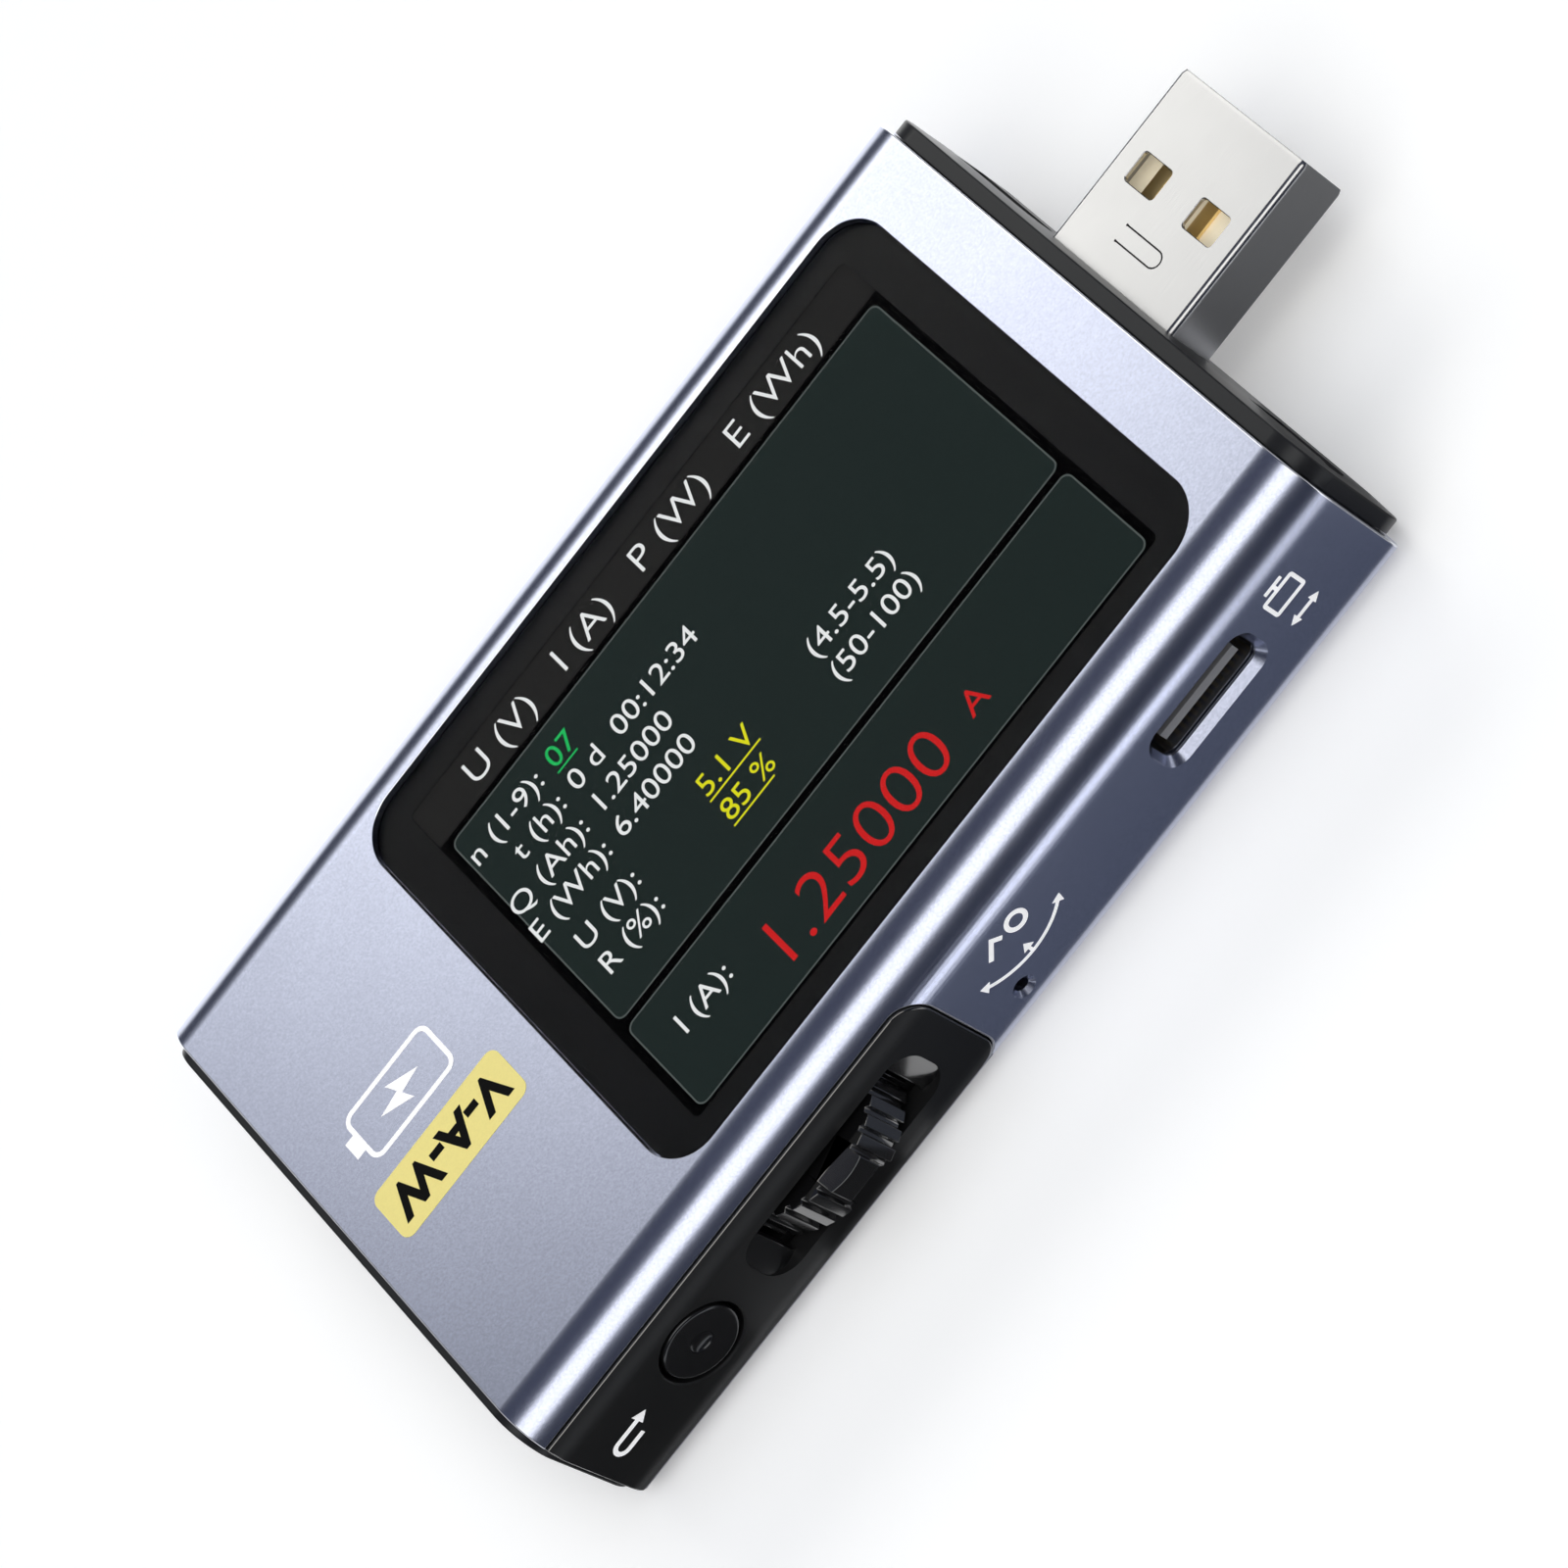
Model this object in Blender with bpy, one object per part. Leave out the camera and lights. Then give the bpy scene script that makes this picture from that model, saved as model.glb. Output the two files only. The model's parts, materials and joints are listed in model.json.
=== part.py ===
"""USB power meter: aluminium sleeve, glass-fronted display, side controls, plug and sockets.

Metres, +Z up. The origin is the centre of the sleeve's back face. X runs along the sleeve
towards the plug, -Y is the long side with the controls, and Z points out of the display.
"""

import bpy
import bmesh
from math import acos, asin, cos, pi, radians, sin, sqrt
from mathutils import Matrix, Vector

for leftover in list(bpy.data.objects):
    bpy.data.objects.remove(leftover, do_unlink=True)

# Fits shared by all pieces
SEAT_GAP = 0.0001
FIT_GAP = 0.00012
RUN_GAP = 0.00015
CUT_OVERRUN = 0.0010
ARC_STEPS = 6
ROUND_STEPS = 28
SMOOTH_UP_TO = radians(30)

# Sleeve
SLEEVE_WIDTH = 0.0440
SLEEVE_THICKNESS = 0.0135
SLEEVE_WALL = 0.0014
SLEEVE_CORNER_RADIUS = 0.0037
SLEEVE_END_CHAMFER = 0.00015
RAIL_REACH = 0.0016
RAIL_HEIGHT = 0.0009

# Display glass, its recess and the module behind it
GLASS_LENGTH = 0.0492
GLASS_THICKNESS = 0.0006
GLASS_CORNER_RADIUS = 0.0033
GLASS_SIDE_MARGIN = 0.00013
WINDOW_CORNER_RADIUS = 0.00165
GLASS_TO_PLUG_END = 0.00468
GLASS_TO_SOCKET_END = 0.0171
RECESS_CHAMFER = 0.00012
LEDGE_WIDTH = 0.0015
ADHESIVE_THICKNESS = 0.00015
DISPLAY_OVERLAP = 0.0006
DISPLAY_THICKNESS = 0.0020
DISPLAY_CORNER_RADIUS = 0.0008
FLEX_WIDTH = 0.0120
FLEX_THICKNESS = 0.0002
FLEX_LOOP = 0.0020
FLEX_TAIL = 0.0042
CONNECTOR_LENGTH = 0.0034
CONNECTOR_HEIGHT = 0.0010

# End caps
CAP_INSET = 0.0006
CAP_RIM = 0.0003
CAP_CROWN = 0.0004
CAP_CROWN_INSET = 0.0022
PLUG_CAP_PROUD = 0.00115
SOCKET_CAP_PROUD = 0.00065
SKIRT_DEPTH = 0.0024
SKIRT_THICKNESS = 0.0009
CAP_FLOOR = 0.0006

# Control panel in the -Y side
PANEL_LENGTH = 0.0341
PANEL_THICKNESS = 0.0015
PANEL_EDGE_MARGIN = 0.00185
PANEL_CORNER_RADIUS = 0.0020
PANEL_LIP = 0.0018
PANEL_LIP_HEIGHT = 0.0050
PANEL_LIP_THICKNESS = 0.00075
CONTROL_RISE = 0.00025

# Thumb wheel and its switch
WHEEL_TO_PANEL_END = 0.0108
WHEEL_RADIUS = 0.0070
WHEEL_THICKNESS = 0.00355
WHEEL_PROUD = 0.0014
WHEEL_BACK = 0.0026
WHEEL_RIDGE_PITCH = 0.0012
WHEEL_GROOVE_DEPTH = 0.00035
WHEEL_GROOVE_FLANK = 0.0001
WHEEL_GROOVE_FLOOR = 0.0003
WHEEL_GROOVES = 5
THUMB_WIDTH = 0.0027
THUMB_CHAMFER = 0.0009
SLOT_END_GAP = 0.00045
SLOT_SIDE_GAP = 0.00072
SLOT_END_SLOPE = 0.0018
SLOT_CORNER_RADIUS = 0.0019
SLOT_INNER_RADIUS = 0.00095
PIN_RADIUS = 0.0009
PIN_RUN_GAP = 0.00008
CARRIER_WIDTH = 0.0104
CARRIER_FRONT = 0.0030
CARRIER_BACK = 0.0053
CARRIER_THICKNESS = 0.0008
HOUSING_MARGIN = 0.0010
HOUSING_FLOOR = 0.0009
HOUSING_BACK_WALL = 0.0009
HOUSING_EAR = 0.0022
HOUSING_EAR_THICKNESS = 0.0006

# Round button and its switch
BUTTON_TO_WHEEL = 0.0133
BUTTON_DIAMETER = 0.0053
BUTTON_CLEARANCE = 0.0003
BUTTON_DIMPLE_RADIUS = 0.00085
BUTTON_DIMPLE_FLOOR = 0.0004
BUTTON_DIMPLE_DEPTH = 0.00025
BUTTON_RIM = 0.0002
BUTTON_FLANGE_REACH = 0.0008
BUTTON_FLANGE_THICKNESS = 0.0008
BUTTON_STEM_RADIUS = 0.0012
BUTTON_STEM_LENGTH = 0.0022
BUTTON_TRAVEL = 0.00035

# Switches behind the button and behind the pinhole
SWITCH_WIDTH = 0.0060
SWITCH_DEPTH = 0.0035
SWITCH_HALF_HEIGHT = 0.0014
PLUNGER_WIDTH = 0.0024
PLUNGER_HEIGHT = 0.0014
PLUNGER_PROUD = 0.0009
PLUNGER_ENGAGED = 0.0008
PINHOLE_TO_PANEL = 0.00367
PINHOLE_RADIUS = 0.0005
PINHOLE_CHAMFER = 0.00032
PINHOLE_DROP = 0.00014
RESET_WIDTH = 0.0035
RESET_DEPTH = 0.0028
RESET_HEIGHT = 0.0020
RESET_SETBACK = 0.0020
RESET_PLUNGER_WIDTH = 0.0012
RESET_PLUNGER_HEIGHT = 0.0010
RESET_PLUNGER_PROUD = 0.0010
RESET_ENGAGED = 0.0009
RESET_TRAVEL = 0.00025

# Circuit board
BOARD_THICKNESS = 0.0012
BOARD_SIDE_GAP = 0.0004
BOARD_END_GAP = 0.0003
NOTCH_GAP = 0.0003

# USB-A plug
PLUG_WIDTH = 0.0120
PLUG_HEIGHT = 0.0045
PLUG_WALL = 0.0003
PLUG_CORNER_RADIUS = 0.0005
PLUG_REACH = 0.01393
PLUG_INSIDE = 0.0049
PLUG_OFFSET = 0.0008
PLUG_WINDOW_LENGTH = 0.00214
PLUG_WINDOW_WIDTH = 0.00278
PLUG_WINDOW_RADIUS = 0.00025
PLUG_WINDOW_SPREAD = 0.0057
PLUG_WINDOW_FROM_TIP = 0.0063
PLUG_CORE_HEIGHT = 0.00195
PLUG_CORE_RECESS = 0.0008
CONTACT_WIDTH = 0.0010
CONTACT_THICKNESS = 0.00025
CONTACT_INNER_SPREAD = 0.0020
CONTACT_OUTER_SPREAD = 0.0070
CONTACT_RECESS = 0.0007
CONTACT_TAIL = 0.0008

# USB-A output socket
SOCKET_WIDTH = 0.0132
SOCKET_HEIGHT = 0.0057
SOCKET_WALL = 0.0003
SOCKET_CORNER_RADIUS = 0.0004
SOCKET_LENGTH = 0.0137
SOCKET_HEADROOM = 0.0008
SOCKET_TONGUE_WIDTH = 0.0111
SOCKET_TONGUE_THICKNESS = 0.00184
SOCKET_TONGUE_RISE = 0.0001
SOCKET_TONGUE_RECESS = 0.0015
SOCKET_BLOCK_LENGTH = 0.0020

# USB-C and micro-USB sockets
PORT_STANDOFF = 0.0003
PORT_SIDE_ROOM = 0.0006
PORT_RECESS = 0.0002
PORT_OPENING_GAP = 0.00015
USB_C_WIDTH = 0.00894
USB_C_HEIGHT = 0.00326
USB_C_CORNER_RADIUS = 0.0014
USB_C_WALL = 0.0003
USB_C_LENGTH = 0.0074
USB_C_TONGUE_WIDTH = 0.0066
USB_C_TONGUE_THICKNESS = 0.0007
USB_C_BLOCK_LENGTH = 0.0018
MICRO_WIDTH = 0.0075
MICRO_HEIGHT = 0.0025
MICRO_FLOOR_WIDTH = 0.0056
MICRO_WALL = 0.0003
MICRO_LENGTH = 0.0052
MICRO_TONGUE_WIDTH = 0.0036
MICRO_TONGUE_THICKNESS = 0.0006
MICRO_BLOCK_LENGTH = 0.0012
TONGUE_RECESS = 0.0001
SIDE_PORT_FROM_PLUG_END = 0.0134
SIDE_PORT_MOUTH_WIDTH = 0.0080
SIDE_PORT_MOUTH_HEIGHT = 0.0028
SIDE_PORT_MOUTH_RADIUS = 0.0009
SIDE_PORT_CHAMFER = 0.00058
SIDE_PORT_SKIN = 0.0007

# Chips on and under the board, placed from its centre or from its +Y edge
PROCESSOR_SIZE = 0.0070
PROCESSOR_HEIGHT = 0.0010
PROCESSOR_X = 0.0080
PROCESSOR_FROM_EDGE = 0.0132
MEMORY_LENGTH = 0.0050
MEMORY_WIDTH = 0.0040
MEMORY_HEIGHT = 0.0012
MEMORY_X = 0.0190
MEMORY_FROM_EDGE = 0.0132
CRYSTAL_LENGTH = 0.0032
CRYSTAL_WIDTH = 0.0025
CRYSTAL_HEIGHT = 0.0008
CRYSTAL_X = 0.0080
CRYSTAL_FROM_EDGE = 0.0067
INDUCTOR_SIZE = 0.0040
INDUCTOR_HEIGHT = 0.0020
INDUCTOR_X = 0.0190
INDUCTOR_Y = -0.0040
METER_CHIP_SIZE = 0.0040
METER_CHIP_HEIGHT = 0.0009
METER_CHIP_X = 0.0120
METER_CHIP_Y = 0.0010
SHUNT_LENGTH = 0.0064
SHUNT_WIDTH = 0.0032
SHUNT_HEIGHT = 0.0008
SHUNT_X = 0.0210
SHUNT_Y = 0.0010

# Places worked out from the sizes
half_width = SLEEVE_WIDTH / 2
sleeve_length = GLASS_TO_SOCKET_END + GLASS_LENGTH + GLASS_TO_PLUG_END
end_x = sleeve_length / 2
inner_half_width = half_width - SLEEVE_WALL
roof_z = SLEEVE_THICKNESS - SLEEVE_WALL
glass_x = end_x - GLASS_TO_PLUG_END - GLASS_LENGTH / 2
glass_width = SLEEVE_WIDTH - 2 * SLEEVE_CORNER_RADIUS - 2 * GLASS_SIDE_MARGIN
recess_depth = GLASS_THICKNESS + ADHESIVE_THICKNESS + 2 * SEAT_GAP
window_length = GLASS_LENGTH - 2 * LEDGE_WIDTH
window_width = glass_width - 2 * LEDGE_WIDTH
display_top = roof_z - SEAT_GAP
board_top = roof_z - SOCKET_HEADROOM - SOCKET_HEIGHT - SEAT_GAP
board_bottom = board_top - BOARD_THICKNESS
control_z = SLEEVE_THICKNESS / 2 + CONTROL_RISE
skirt_inner_half_width = inner_half_width - FIT_GAP - SKIRT_THICKNESS
board_end_x = end_x - SKIRT_DEPTH - BOARD_END_GAP
board_edge_y = inner_half_width - BOARD_SIDE_GAP

panel_end_x = PANEL_LENGTH - end_x
panel_inner_y = PANEL_THICKNESS - half_width
wheel_x = panel_end_x - WHEEL_TO_PANEL_END
wheel_y = WHEEL_RADIUS - half_width - WHEEL_PROUD
slot_half_opening = SLOT_END_GAP + sqrt(WHEEL_RADIUS ** 2 - (wheel_y - panel_inner_y) ** 2)
slot_height = WHEEL_THICKNESS + 2 * SLOT_SIDE_GAP
wheel_bottom = control_z - WHEEL_THICKNESS / 2
carrier_top = wheel_bottom - RUN_GAP
carrier_bottom = carrier_top - CARRIER_THICKNESS
housing_floor_top = carrier_bottom - RUN_GAP
housing_bottom = housing_floor_top - HOUSING_FLOOR
housing_half_width = WHEEL_RADIUS + HOUSING_MARGIN
housing_front_y = panel_inner_y + NOTCH_GAP
housing_back_y = wheel_y + WHEEL_RADIUS

button_x = wheel_x - BUTTON_TO_WHEEL
button_radius = BUTTON_DIAMETER / 2
button_hole_radius = button_radius + BUTTON_CLEARANCE
flange_front_y = panel_inner_y + SEAT_GAP
flange_back_y = flange_front_y + BUTTON_FLANGE_THICKNESS
stem_back_y = flange_back_y + BUTTON_STEM_LENGTH
switch_front_y = stem_back_y + SEAT_GAP + PLUNGER_PROUD

pinhole_x = panel_end_x + PINHOLE_TO_PANEL
pinhole_z = board_bottom - PINHOLE_DROP
reset_front_y = RESET_SETBACK - inner_half_width

plug_bottom = board_top + SEAT_GAP
plug_z = plug_bottom + PLUG_HEIGHT / 2
plug_tip_x = end_x + PLUG_REACH
plug_back_x = end_x - PLUG_INSIDE
plug_core_bottom = plug_bottom + PLUG_WALL + SEAT_GAP
plug_core_top = plug_core_bottom + PLUG_CORE_HEIGHT
plug_core_back_x = plug_back_x + FIT_GAP

socket_z = board_top + SEAT_GAP + SOCKET_HEIGHT / 2
usb_c_z = board_top + PORT_STANDOFF + USB_C_HEIGHT / 2
micro_z = board_top + PORT_STANDOFF + MICRO_HEIGHT / 2
usb_c_y = skirt_inner_half_width - PORT_SIDE_ROOM - USB_C_WIDTH / 2
micro_y = MICRO_WIDTH / 2 + PORT_SIDE_ROOM - skirt_inner_half_width
input_mouth_x = end_x + PLUG_CAP_PROUD - PORT_RECESS
output_mouth_x = end_x + SOCKET_CAP_PROUD - PORT_RECESS
side_port_x = end_x - SIDE_PORT_FROM_PLUG_END
side_port_mouth_y = SIDE_PORT_SKIN + SEAT_GAP - half_width


def facing(origin, out, up):
    """A frame whose third axis points along out and whose second points along up."""
    third = Vector(out)
    second = Vector(up)
    first = second.cross(third)
    turned = Matrix((first, second, third)).transposed().to_4x4()
    return Matrix.Translation(Vector(origin)) @ turned


ALONG_X = facing((0, 0, 0), (1, 0, 0), (0, 0, 1))
ALONG_Z = facing((0, 0, 0), (0, 0, 1), (0, 1, 0))
TO_SIDE = facing((0, 0, 0), (0, -1, 0), (0, 0, 1))


def rounded(width, height, radius, centre=(0.0, 0.0), steps=ARC_STEPS):
    """Counter-clockwise rectangle with round corners."""
    points = []
    for quarter, (side, end) in enumerate(((1, 1), (-1, 1), (-1, -1), (1, -1))):
        corner_a = centre[0] + side * (width / 2 - radius)
        corner_b = centre[1] + end * (height / 2 - radius)
        for step in range(steps + 1):
            angle = (quarter + step / steps) * pi / 2
            points.append((corner_a + radius * cos(angle), corner_b + radius * sin(angle)))
    return points


def rectangle(low_a, high_a, low_b, high_b):
    return [(low_a, low_b), (high_a, low_b), (high_a, high_b), (low_a, high_b)]


def circle(radius, centre=(0.0, 0.0), steps=ROUND_STEPS):
    points = []
    for step in range(steps):
        angle = 2 * pi * step / steps
        points.append((centre[0] + radius * cos(angle), centre[1] + radius * sin(angle)))
    return points


def sleeve_outline(inset):
    """Cross-section of the sleeve, drawn in by inset, in the ALONG_X frame."""
    width = SLEEVE_WIDTH - 2 * inset
    height = SLEEVE_THICKNESS - 2 * inset
    return rounded(width, height, SLEEVE_CORNER_RADIUS - inset, (0.0, SLEEVE_THICKNESS / 2))


def finish(name, colour, roughness, metallic=0.0):
    material = bpy.data.materials.new(name)
    material.use_nodes = True
    shader = material.node_tree.nodes["Principled BSDF"]
    shader.inputs["Base Color"].default_value = (*colour, 1.0)
    shader.inputs["Roughness"].default_value = roughness
    shader.inputs["Metallic"].default_value = metallic
    return material


anodised = finish("anodised_aluminium", (0.42, 0.45, 0.55), 0.32, 1.0)
black_glass = finish("black_glass", (0.010, 0.011, 0.013), 0.08)
adhesive = finish("adhesive_foam", (0.02, 0.02, 0.02), 0.90)
display_metal = finish("display_frame", (0.30, 0.31, 0.32), 0.45, 0.6)
flex_film = finish("flex_film", (0.30, 0.14, 0.03), 0.50)
black_plastic = finish("black_plastic", (0.012, 0.012, 0.013), 0.45)
wheel_plastic = finish("wheel_plastic", (0.010, 0.010, 0.011), 0.35)
ivory_plastic = finish("ivory_plastic", (0.70, 0.66, 0.55), 0.50)
steel = finish("plated_steel", (0.72, 0.72, 0.71), 0.25, 1.0)
gold = finish("gold_contact", (0.80, 0.55, 0.20), 0.28, 1.0)
core_plastic = finish("core_plastic", (0.55, 0.45, 0.28), 0.50)
board_mask = finish("board_mask", (0.01, 0.09, 0.03), 0.45)
chip_epoxy = finish("chip_epoxy", (0.02, 0.02, 0.022), 0.60)
ferrite = finish("ferrite", (0.06, 0.06, 0.065), 0.70)


def loft(name, rings, frame, material=None, origin=(0.0, 0.0, 0.0)):
    """A closed solid through rings of equal point counts, each ring (outline, distance)."""
    shape = bmesh.new()
    start = Vector(origin)
    loops = []
    for outline, distance in rings:
        loops.append([shape.verts.new(frame @ Vector((a, b, distance)) - start) for a, b in outline])
    for lower, upper in zip(loops, loops[1:]):
        for k in range(len(lower)):
            shape.faces.new((lower[k - 1], lower[k], upper[k], upper[k - 1]))
    shape.faces.new(list(reversed(loops[0])))
    shape.faces.new(loops[-1])
    bmesh.ops.recalc_face_normals(shape, faces=shape.faces[:])
    mesh = bpy.data.meshes.new(name)
    shape.to_mesh(mesh)
    shape.free()
    mesh.shade_smooth()
    mesh.set_sharp_from_angle(angle=SMOOTH_UP_TO)
    solid = bpy.data.objects.new(name, mesh)
    solid.location = start
    bpy.context.scene.collection.objects.link(solid)
    if material:
        mesh.materials.append(material)
    return solid


def prism(name, outline, low, high, frame, material=None, origin=(0.0, 0.0, 0.0)):
    return loft(name, [(outline, low), (outline, high)], frame, material, origin)


def combine(solid, helper, operation):
    helper.hide_render = True
    helper.display_type = 'WIRE'
    step = solid.modifiers.new(helper.name, 'BOOLEAN')
    step.operation = operation
    step.object = helper
    step.solver = 'EXACT'


def cut(solid, helper):
    combine(solid, helper, 'DIFFERENCE')


def panel_outline(gap, near_x):
    """Side view of the panel: square at the sleeve's end, round at its far corners, drawn in by gap."""
    low_z = PANEL_EDGE_MARGIN + gap
    high_z = SLEEVE_THICKNESS - PANEL_EDGE_MARGIN - gap
    far = panel_end_x - gap
    radius = PANEL_CORNER_RADIUS - gap
    points = [(near_x, high_z), (near_x, low_z)]
    for corner_z, first in ((low_z + radius, -pi / 2), (high_z - radius, 0.0)):
        for step in range(ARC_STEPS + 1):
            angle = first + step / ARC_STEPS * pi / 2
            points.append((far - radius + radius * cos(angle), corner_z + radius * sin(angle)))
    return points


def case_tube():
    chamfer = SLEEVE_END_CHAMFER
    outside = [
        (sleeve_outline(chamfer), -end_x),
        (sleeve_outline(0.0), chamfer - end_x),
        (sleeve_outline(0.0), end_x - chamfer),
        (sleeve_outline(chamfer), end_x),
    ]
    tube = loft("case_tube", outside, ALONG_X, anodised)
    past_end = end_x + CUT_OVERRUN
    cut(tube, prism("tube_bore", sleeve_outline(SLEEVE_WALL), -past_end, past_end, ALONG_X))

    rail_top = board_bottom - SEAT_GAP
    rail_root = inner_half_width + SLEEVE_WALL / 2
    rail_tip = inner_half_width - RAIL_REACH
    back_rail = rectangle(rail_tip, rail_root, rail_top - RAIL_HEIGHT, rail_top)
    combine(tube, prism("back_rail", back_rail, -board_end_x, board_end_x, ALONG_X), 'UNION')
    front_rail = rectangle(-rail_root, -rail_tip, rail_top - RAIL_HEIGHT, rail_top)
    rail_start = pinhole_x + RESET_WIDTH / 2 + NOTCH_GAP
    combine(tube, prism("front_rail", front_rail, rail_start, board_end_x, ALONG_X), 'UNION')

    recess_floor = SLEEVE_THICKNESS - recess_depth
    chamfer_foot = SLEEVE_THICKNESS - RECESS_CHAMFER
    recess = [
        (glass_outline(FIT_GAP), recess_floor),
        (glass_outline(FIT_GAP), chamfer_foot),
        (glass_outline(FIT_GAP + RECESS_CHAMFER + CUT_OVERRUN), SLEEVE_THICKNESS + CUT_OVERRUN),
    ]
    cut(tube, loft("glass_recess", recess, ALONG_Z))
    cut(tube, prism("display_window", window_outline(), roof_z - CUT_OVERRUN, SLEEVE_THICKNESS, ALONG_Z))

    past_side = half_width + CUT_OVERRUN
    short_of_wall = inner_half_width - CUT_OVERRUN
    notch = panel_outline(0.0, -past_end)
    cut(tube, prism("panel_notch", notch, half_width - SLEEVE_CORNER_RADIUS, past_side, TO_SIDE))

    mouth = [
        (side_port_outline(0.0), short_of_wall),
        (side_port_outline(0.0), half_width - SIDE_PORT_CHAMFER),
        (side_port_outline(SIDE_PORT_CHAMFER + CUT_OVERRUN), past_side),
    ]
    cut(tube, loft("side_port_mouth", mouth, TO_SIDE))
    relief = rectangle(
        side_port_x - USB_C_WIDTH / 2 - NOTCH_GAP, side_port_x + USB_C_WIDTH / 2 + NOTCH_GAP,
        usb_c_z - USB_C_HEIGHT / 2 - NOTCH_GAP, usb_c_z + USB_C_HEIGHT / 2 + NOTCH_GAP)
    relief_floor = half_width - SIDE_PORT_SKIN
    cut(tube, prism("side_port_relief", relief, short_of_wall, relief_floor, TO_SIDE))

    centre = (pinhole_x, pinhole_z)
    hole = [
        (circle(PINHOLE_RADIUS, centre), short_of_wall),
        (circle(PINHOLE_RADIUS, centre), half_width - PINHOLE_CHAMFER),
        (circle(PINHOLE_RADIUS + PINHOLE_CHAMFER + CUT_OVERRUN, centre), past_side),
    ]
    cut(tube, loft("pinhole", hole, TO_SIDE))


def glass_outline(grow):
    length = GLASS_LENGTH + 2 * grow
    width = glass_width + 2 * grow
    return rounded(length, width, GLASS_CORNER_RADIUS + grow, (glass_x, 0.0))


def window_outline():
    """The opening through the sleeve and the adhesive that the display shows through."""
    return rounded(window_length, window_width, WINDOW_CORNER_RADIUS, (glass_x, 0.0))


def side_port_outline(grow):
    return rounded(
        SIDE_PORT_MOUTH_WIDTH + 2 * grow, SIDE_PORT_MOUTH_HEIGHT + 2 * grow,
        SIDE_PORT_MOUTH_RADIUS + grow, (side_port_x, usb_c_z))


def display_stack():
    glass_bottom = SLEEVE_THICKNESS - GLASS_THICKNESS
    prism("display_glass", glass_outline(0.0), glass_bottom, SLEEVE_THICKNESS, ALONG_Z, black_glass)

    frame_top = glass_bottom - SEAT_GAP
    frame_bottom = frame_top - ADHESIVE_THICKNESS
    frame = prism("glass_adhesive", glass_outline(-FIT_GAP), frame_bottom, frame_top, ALONG_Z, adhesive)
    low = frame_bottom - CUT_OVERRUN
    high = frame_top + CUT_OVERRUN
    cut(frame, prism("adhesive_window", window_outline(), low, high, ALONG_Z))

    display_length = window_length + 2 * DISPLAY_OVERLAP
    display_width = window_width + 2 * DISPLAY_OVERLAP
    outline = rounded(display_length, display_width, DISPLAY_CORNER_RADIUS, (glass_x, 0.0))
    display_bottom = display_top - DISPLAY_THICKNESS
    prism("display_module", outline, display_bottom, display_top, ALONG_Z, display_metal)

    connector_top = board_top + SEAT_GAP + CONNECTOR_HEIGHT
    flex_start = glass_x - display_length / 2 - SEAT_GAP
    upper_z = display_bottom + DISPLAY_THICKNESS / 2
    lower_z = connector_top + SEAT_GAP + FLEX_THICKNESS / 2
    across = facing((0.0, PLUG_OFFSET, 0.0), (0, 1, 0), (0, 0, 1))
    bend = (upper_z - lower_z) / 2
    bend_x = flex_start - FLEX_LOOP
    tail_x = bend_x + FLEX_TAIL
    ribbon = []
    for side in (1, -1):
        radius = bend + side * FLEX_THICKNESS / 2
        stretch = [(-flex_start, upper_z + side * FLEX_THICKNESS / 2)]
        for step in range(ARC_STEPS * 2 + 1):
            angle = pi / 2 - step / (ARC_STEPS * 2) * pi
            stretch.append((-bend_x + radius * cos(angle), (upper_z + lower_z) / 2 + radius * sin(angle)))
        stretch.append((-tail_x, lower_z - side * FLEX_THICKNESS / 2))
        ribbon += stretch if side == 1 else list(reversed(stretch))
    prism("display_flex", ribbon, -FLEX_WIDTH / 2, FLEX_WIDTH / 2, across, flex_film)

    connector = rectangle(
        tail_x - CONNECTOR_LENGTH / 2, tail_x + CONNECTOR_LENGTH / 2,
        PLUG_OFFSET - FLEX_WIDTH / 2, PLUG_OFFSET + FLEX_WIDTH / 2)
    prism("flex_connector", connector, board_top + SEAT_GAP, connector_top, ALONG_Z, ivory_plastic)


def end_cap(name, side, proud, openings):
    """A cap whose skirt plugs into the sleeve; side is +1 at the plug, -1 at the sockets."""
    frame = facing((0.0, 0.0, 0.0), (side, 0, 0), (0, 0, 1))
    skirt = sleeve_outline(SLEEVE_WALL + FIT_GAP)
    rim = proud - CAP_RIM
    rings = [
        (skirt, end_x - SKIRT_DEPTH),
        (skirt, end_x + SEAT_GAP),
        (sleeve_outline(CAP_INSET), end_x + SEAT_GAP),
        (sleeve_outline(CAP_INSET), end_x + rim),
        (sleeve_outline(CAP_INSET + CAP_RIM), end_x + proud),
        (sleeve_outline(CAP_INSET + CAP_CROWN_INSET), end_x + proud + CAP_CROWN),
    ]
    cap = loft(name, rings, frame, black_plastic)
    hollow = sleeve_outline(SLEEVE_WALL + FIT_GAP + SKIRT_THICKNESS)
    cut(cap, prism(name + "_hollow", hollow, end_x - SKIRT_DEPTH - CUT_OVERRUN, end_x - CAP_FLOOR, frame))
    for label, outline in openings:
        through = end_x + proud + CAP_CROWN + CUT_OVERRUN
        cut(cap, prism(name + label, outline, end_x - SKIRT_DEPTH - CUT_OVERRUN, through, frame))


def grown(outline, centre, gap):
    """The same outline, moved to centre and opened by gap."""
    moved = []
    for a, b in outline:
        moved.append((centre[0] + a + (gap if a > 0 else -gap), centre[1] + b + (gap if b > 0 else -gap)))
    return moved


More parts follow.
